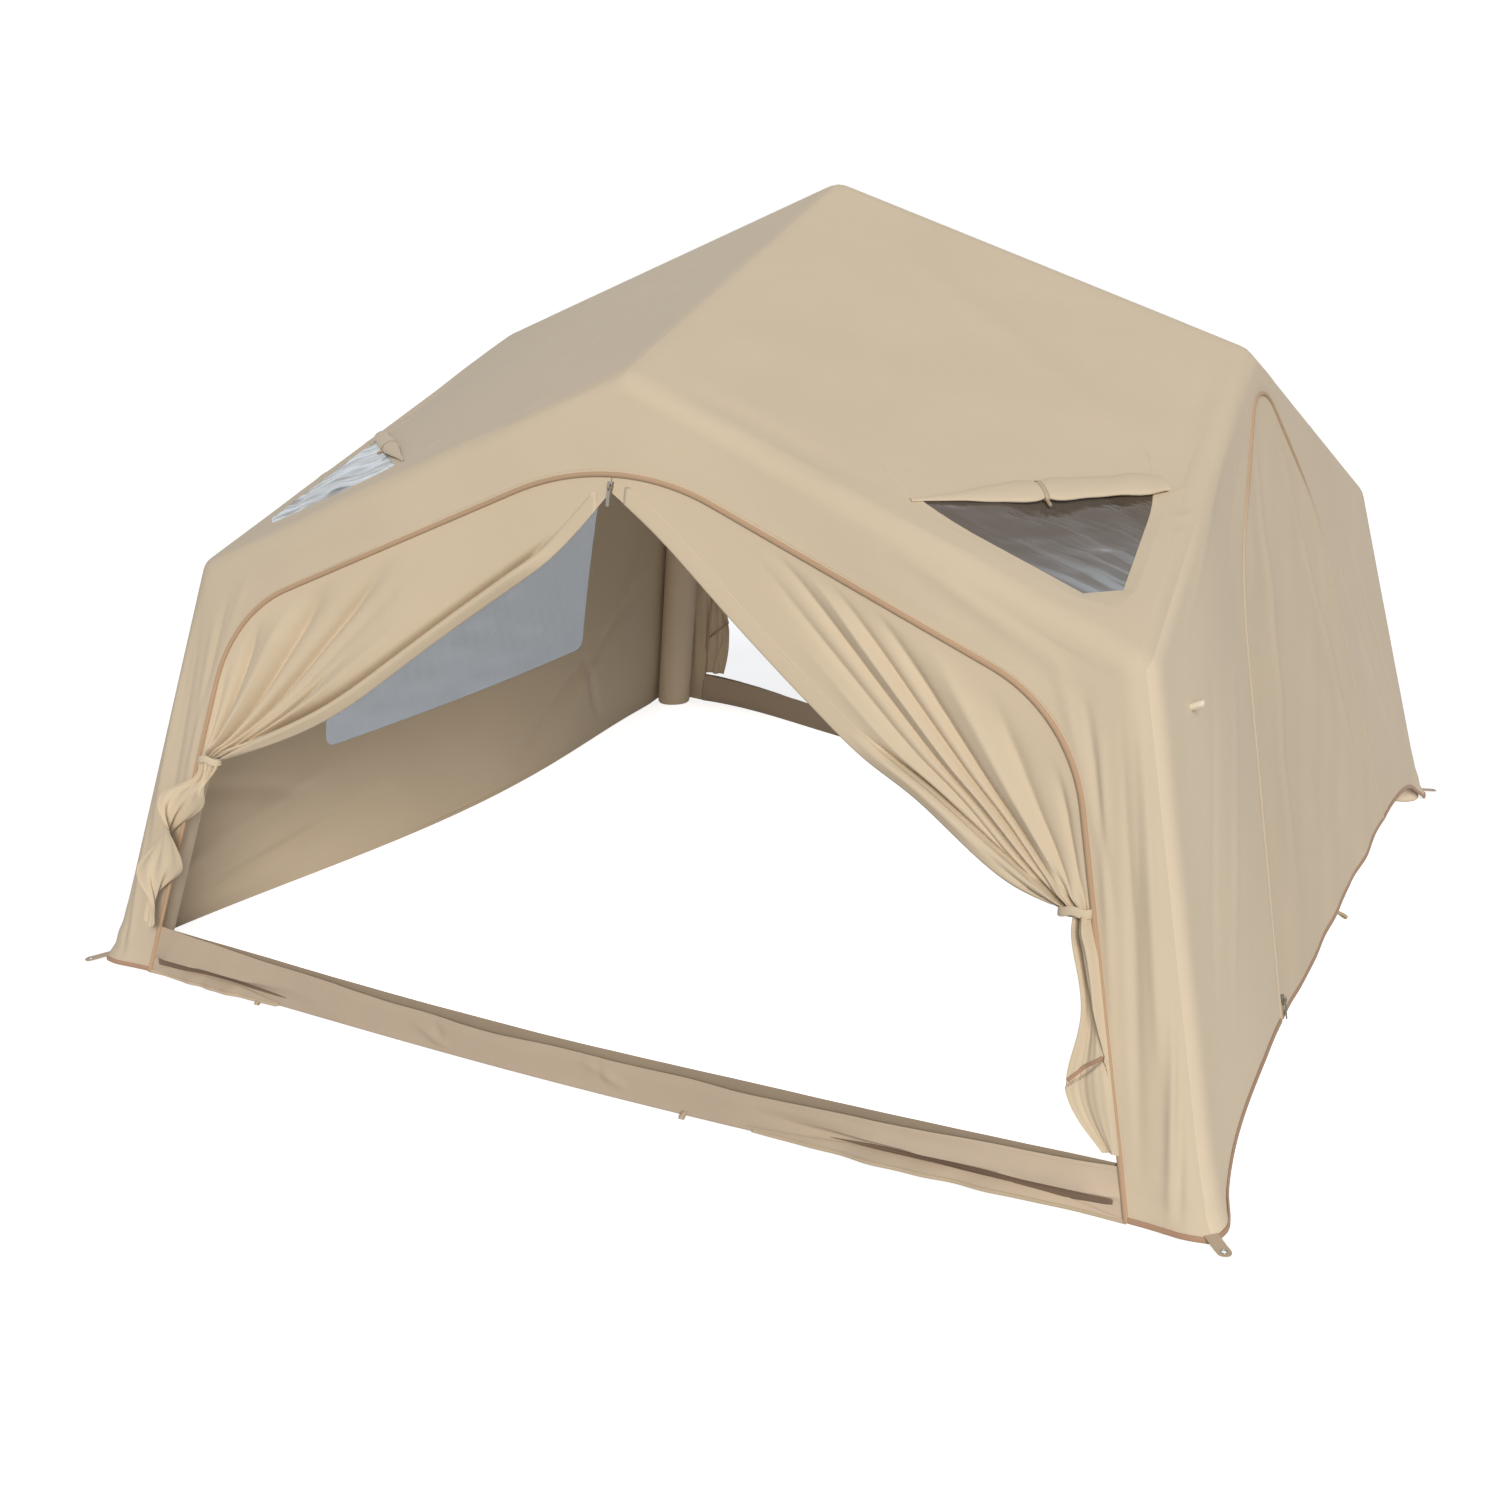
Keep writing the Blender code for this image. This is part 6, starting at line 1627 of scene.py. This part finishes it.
for side, hand in HUNG:
    place_frame = wall_frame(side)
    own = 1 if (side == "front") == (hand == "right") else -1
    places = put(place_frame, line[:, 0] * own, TIE + crooked, line[:, 1])
    facing = np.cross(np.gradient(places, axis=0), place_frame[2]) * own
    tube_piece(f"{side}_strap_{hand}", strip(places, facing, STRAP_SECTION), curtain_cloth,
               [f"{side}_tie_strap_{hand}"])

# %% Peg tabs
TAB_LENGTH, TAB_WIDTH, TAB_EYE_RADIUS, TAB_LEVEL = 0.086, 0.03, 0.007, 0.02
base = solid_corners(BEAM_INSET)["foot"][0]
leg_face = BEAM_RADIUS * math.hypot(1, WALL_LEAN * math.sqrt(2))
start = (base - WALL_LEAN * TAB_LEVEL) * math.sqrt(2) + leg_face + GAP
eye = start + TAB_LENGTH - TAB_WIDTH / 2
turn = np.linspace(-math.pi / 2, math.pi / 2, 25)
tip = grid_of(eye + TAB_WIDTH / 2 * np.cos(turn), TAB_WIDTH / 2 * np.sin(turn))
share = np.linspace(0, 1, 12)[:-1, None]
low_side = np.array([start, -TAB_WIDTH / 2]) * (1 - share) + tip[0] * share
high_side = tip[-1] * (1 - share) + np.array([start, TAB_WIDTH / 2]) * share
sewn_end = grid_of(start, TAB_WIDTH / 2 * np.array([1.0, 0.5, 0.0, -0.5]))
outline = np.concatenate([low_side, tip, high_side[1:], sewn_end])
plan = band(np.array([eye, 0]) + TAB_EYE_RADIUS * unit(outline - [eye - 0.004, 0]), outline, 9)
sag = -0.016 * smooth((plan[..., 0] - start) / TAB_LENGTH) ** 1.2 * 0.6
lifted = grid_of(plan[..., 0], plan[..., 1], TAB_LEVEL + sag + 0.0012)
turn = np.linspace(0, 2 * math.pi, 32, endpoint=False)
eyelet_radius = TAB_EYE_RADIUS - 0.0004
eyelet = grid_of(eye + eyelet_radius * np.cos(turn), eyelet_radius * np.sin(turn), TAB_LEVEL - 0.0082)
round_wire = grid_of(0.0016 * np.cos(turn[::4]), 0.0017 * np.sin(turn[::4]))
for corner, (sx, sy) in CORNERS.items():
    bearing = math.atan2(sy, sx)
    sheet_piece(f"peg_tab_webbing_{corner}", turned(lifted, bearing), plan, (0, 0, 1), webbing_cloth,
                [f"peg_tab_{corner}"], TAB_SHEET, joined=True)
    tube_piece(f"peg_eyelet_{corner}", strip(turned(eyelet, bearing), (0, 0, 1), round_wire, joined=True),
               zip_metal, joined=True)

# %% [markdown]
# ## Stage and light
# The background is only a colour for the camera: the world shows white where nothing is, and
# the floor glows for the camera, so that it blends into that white and the tent's shadow on it
# nearly vanishes. The key light stands before the tent and to its right, less than 30 degrees
# above the floor, so the front reads light and the left half of the roof falls into soft shade,
# which painted shade on the left canvases deepens.
# %% Floor
FLOOR_LIFT, INDOOR_GLOW, INDOOR_REACH, OUTDOOR_REACH = 0.74, 0.18, 1.30, 1.60
floor_mesh = bpy.data.meshes.new("floor")
floor_mesh.from_pydata([(-30, -30, 0), (30, -30, 0), (30, 30, 0), (-30, 30, 0)], [], [(0, 1, 2, 3)])
floor_finish, floor_tree, floor_shader = new_finish("floor_white", (0.50, 0.50, 0.50), 0.95)
floor_spot = floor_tree.nodes.new("ShaderNodeTexCoord")
apart = add_node(floor_tree, "ShaderNodeSeparateXYZ", Vector=floor_spot.outputs["Object"])
reaches = [worked_out(floor_tree, "ABSOLUTE", apart.outputs[axis]) for axis in "XY"]
farther = worked_out(floor_tree, "MAXIMUM", *reaches)
outdoors = ranged(floor_tree, farther, INDOOR_REACH, OUTDOOR_REACH)
ground = mixed(floor_tree, outdoors, (0.96, 0.96, 0.96, 1), (0.45, 0.45, 0.45, 1))
floor_tree.links.new(ground, floor_shader.inputs["Base Color"])
ray_kind = floor_tree.nodes.new("ShaderNodeLightPath")
indoors = ranged(floor_tree, outdoors, first=INDOOR_GLOW, last=0.0)
lift = worked_out(floor_tree, "MULTIPLY_ADD", ray_kind.outputs["Is Camera Ray"], FLOOR_LIFT, indoors)
floor_tree.links.new(lift, floor_shader.inputs["Emission Strength"])
floor_shader.inputs["Emission Color"].default_value = (1, 1, 1, 1)
floor_mesh.materials.append(floor_finish)
floor = bpy.data.objects.new("floor", floor_mesh)
bpy.context.scene.collection.objects.link(floor)
print("floor glows", INDOOR_GLOW, "under the tent and", FLOOR_LIFT, "more for the camera")

# %% White surroundings
bpy.context.scene.view_settings.view_transform = "Standard"
world = bpy.data.worlds.new("soft_white")
bpy.context.scene.world = world
world.use_nodes = True
sky = world.node_tree.nodes["Background"]
seen = add_node(world.node_tree, "ShaderNodeBackground", Strength=1.0, Color=(1, 1, 1, 1))
sky.inputs["Color"].default_value = (0.92, 0.98, 1.12, 1)
sky.inputs["Strength"].default_value = 0.285
path = world.node_tree.nodes.new("ShaderNodeLightPath")
either = worked_out(world.node_tree, "MAXIMUM", path.outputs["Is Camera Ray"], path.outputs["Is Glossy Ray"])
shown = worked_out(world.node_tree, "MAXIMUM", either, path.outputs["Is Transmission Ray"])
choice = add_node(world.node_tree, "ShaderNodeMixShader", i0=shown, i1=sky.outputs["Background"],
                  i2=seen.outputs["Background"])
world.node_tree.links.new(choice.outputs["Shader"], world.node_tree.nodes["World Output"].inputs["Surface"])
print("sky light", round(sky.inputs["Strength"].default_value, 3), "and white for the camera")

# %% Key light
SUN_WAY, SUN_STRENGTH, SUN_SIZE = np.array([0.233, -0.37, 0.235]), 2.52, math.radians(30)
lamp = bpy.data.lights.new("key", "SUN")
lamp.color = (1.0, 0.965, 0.90)
lamp.energy, lamp.angle = SUN_STRENGTH, SUN_SIZE
key = bpy.data.objects.new("key", lamp)
bpy.context.scene.collection.objects.link(key)
z = unit(SUN_WAY)
x = unit(np.cross([0, 0, 1], z))
y = np.cross(z, x)
key.matrix_world = Matrix([[x[i], y[i], z[i], 4 * z[i]] for i in range(3)] + [[0, 0, 0, 1]])
print("key light", round(math.degrees(math.asin(z[2])), 1), "degrees above the floor")
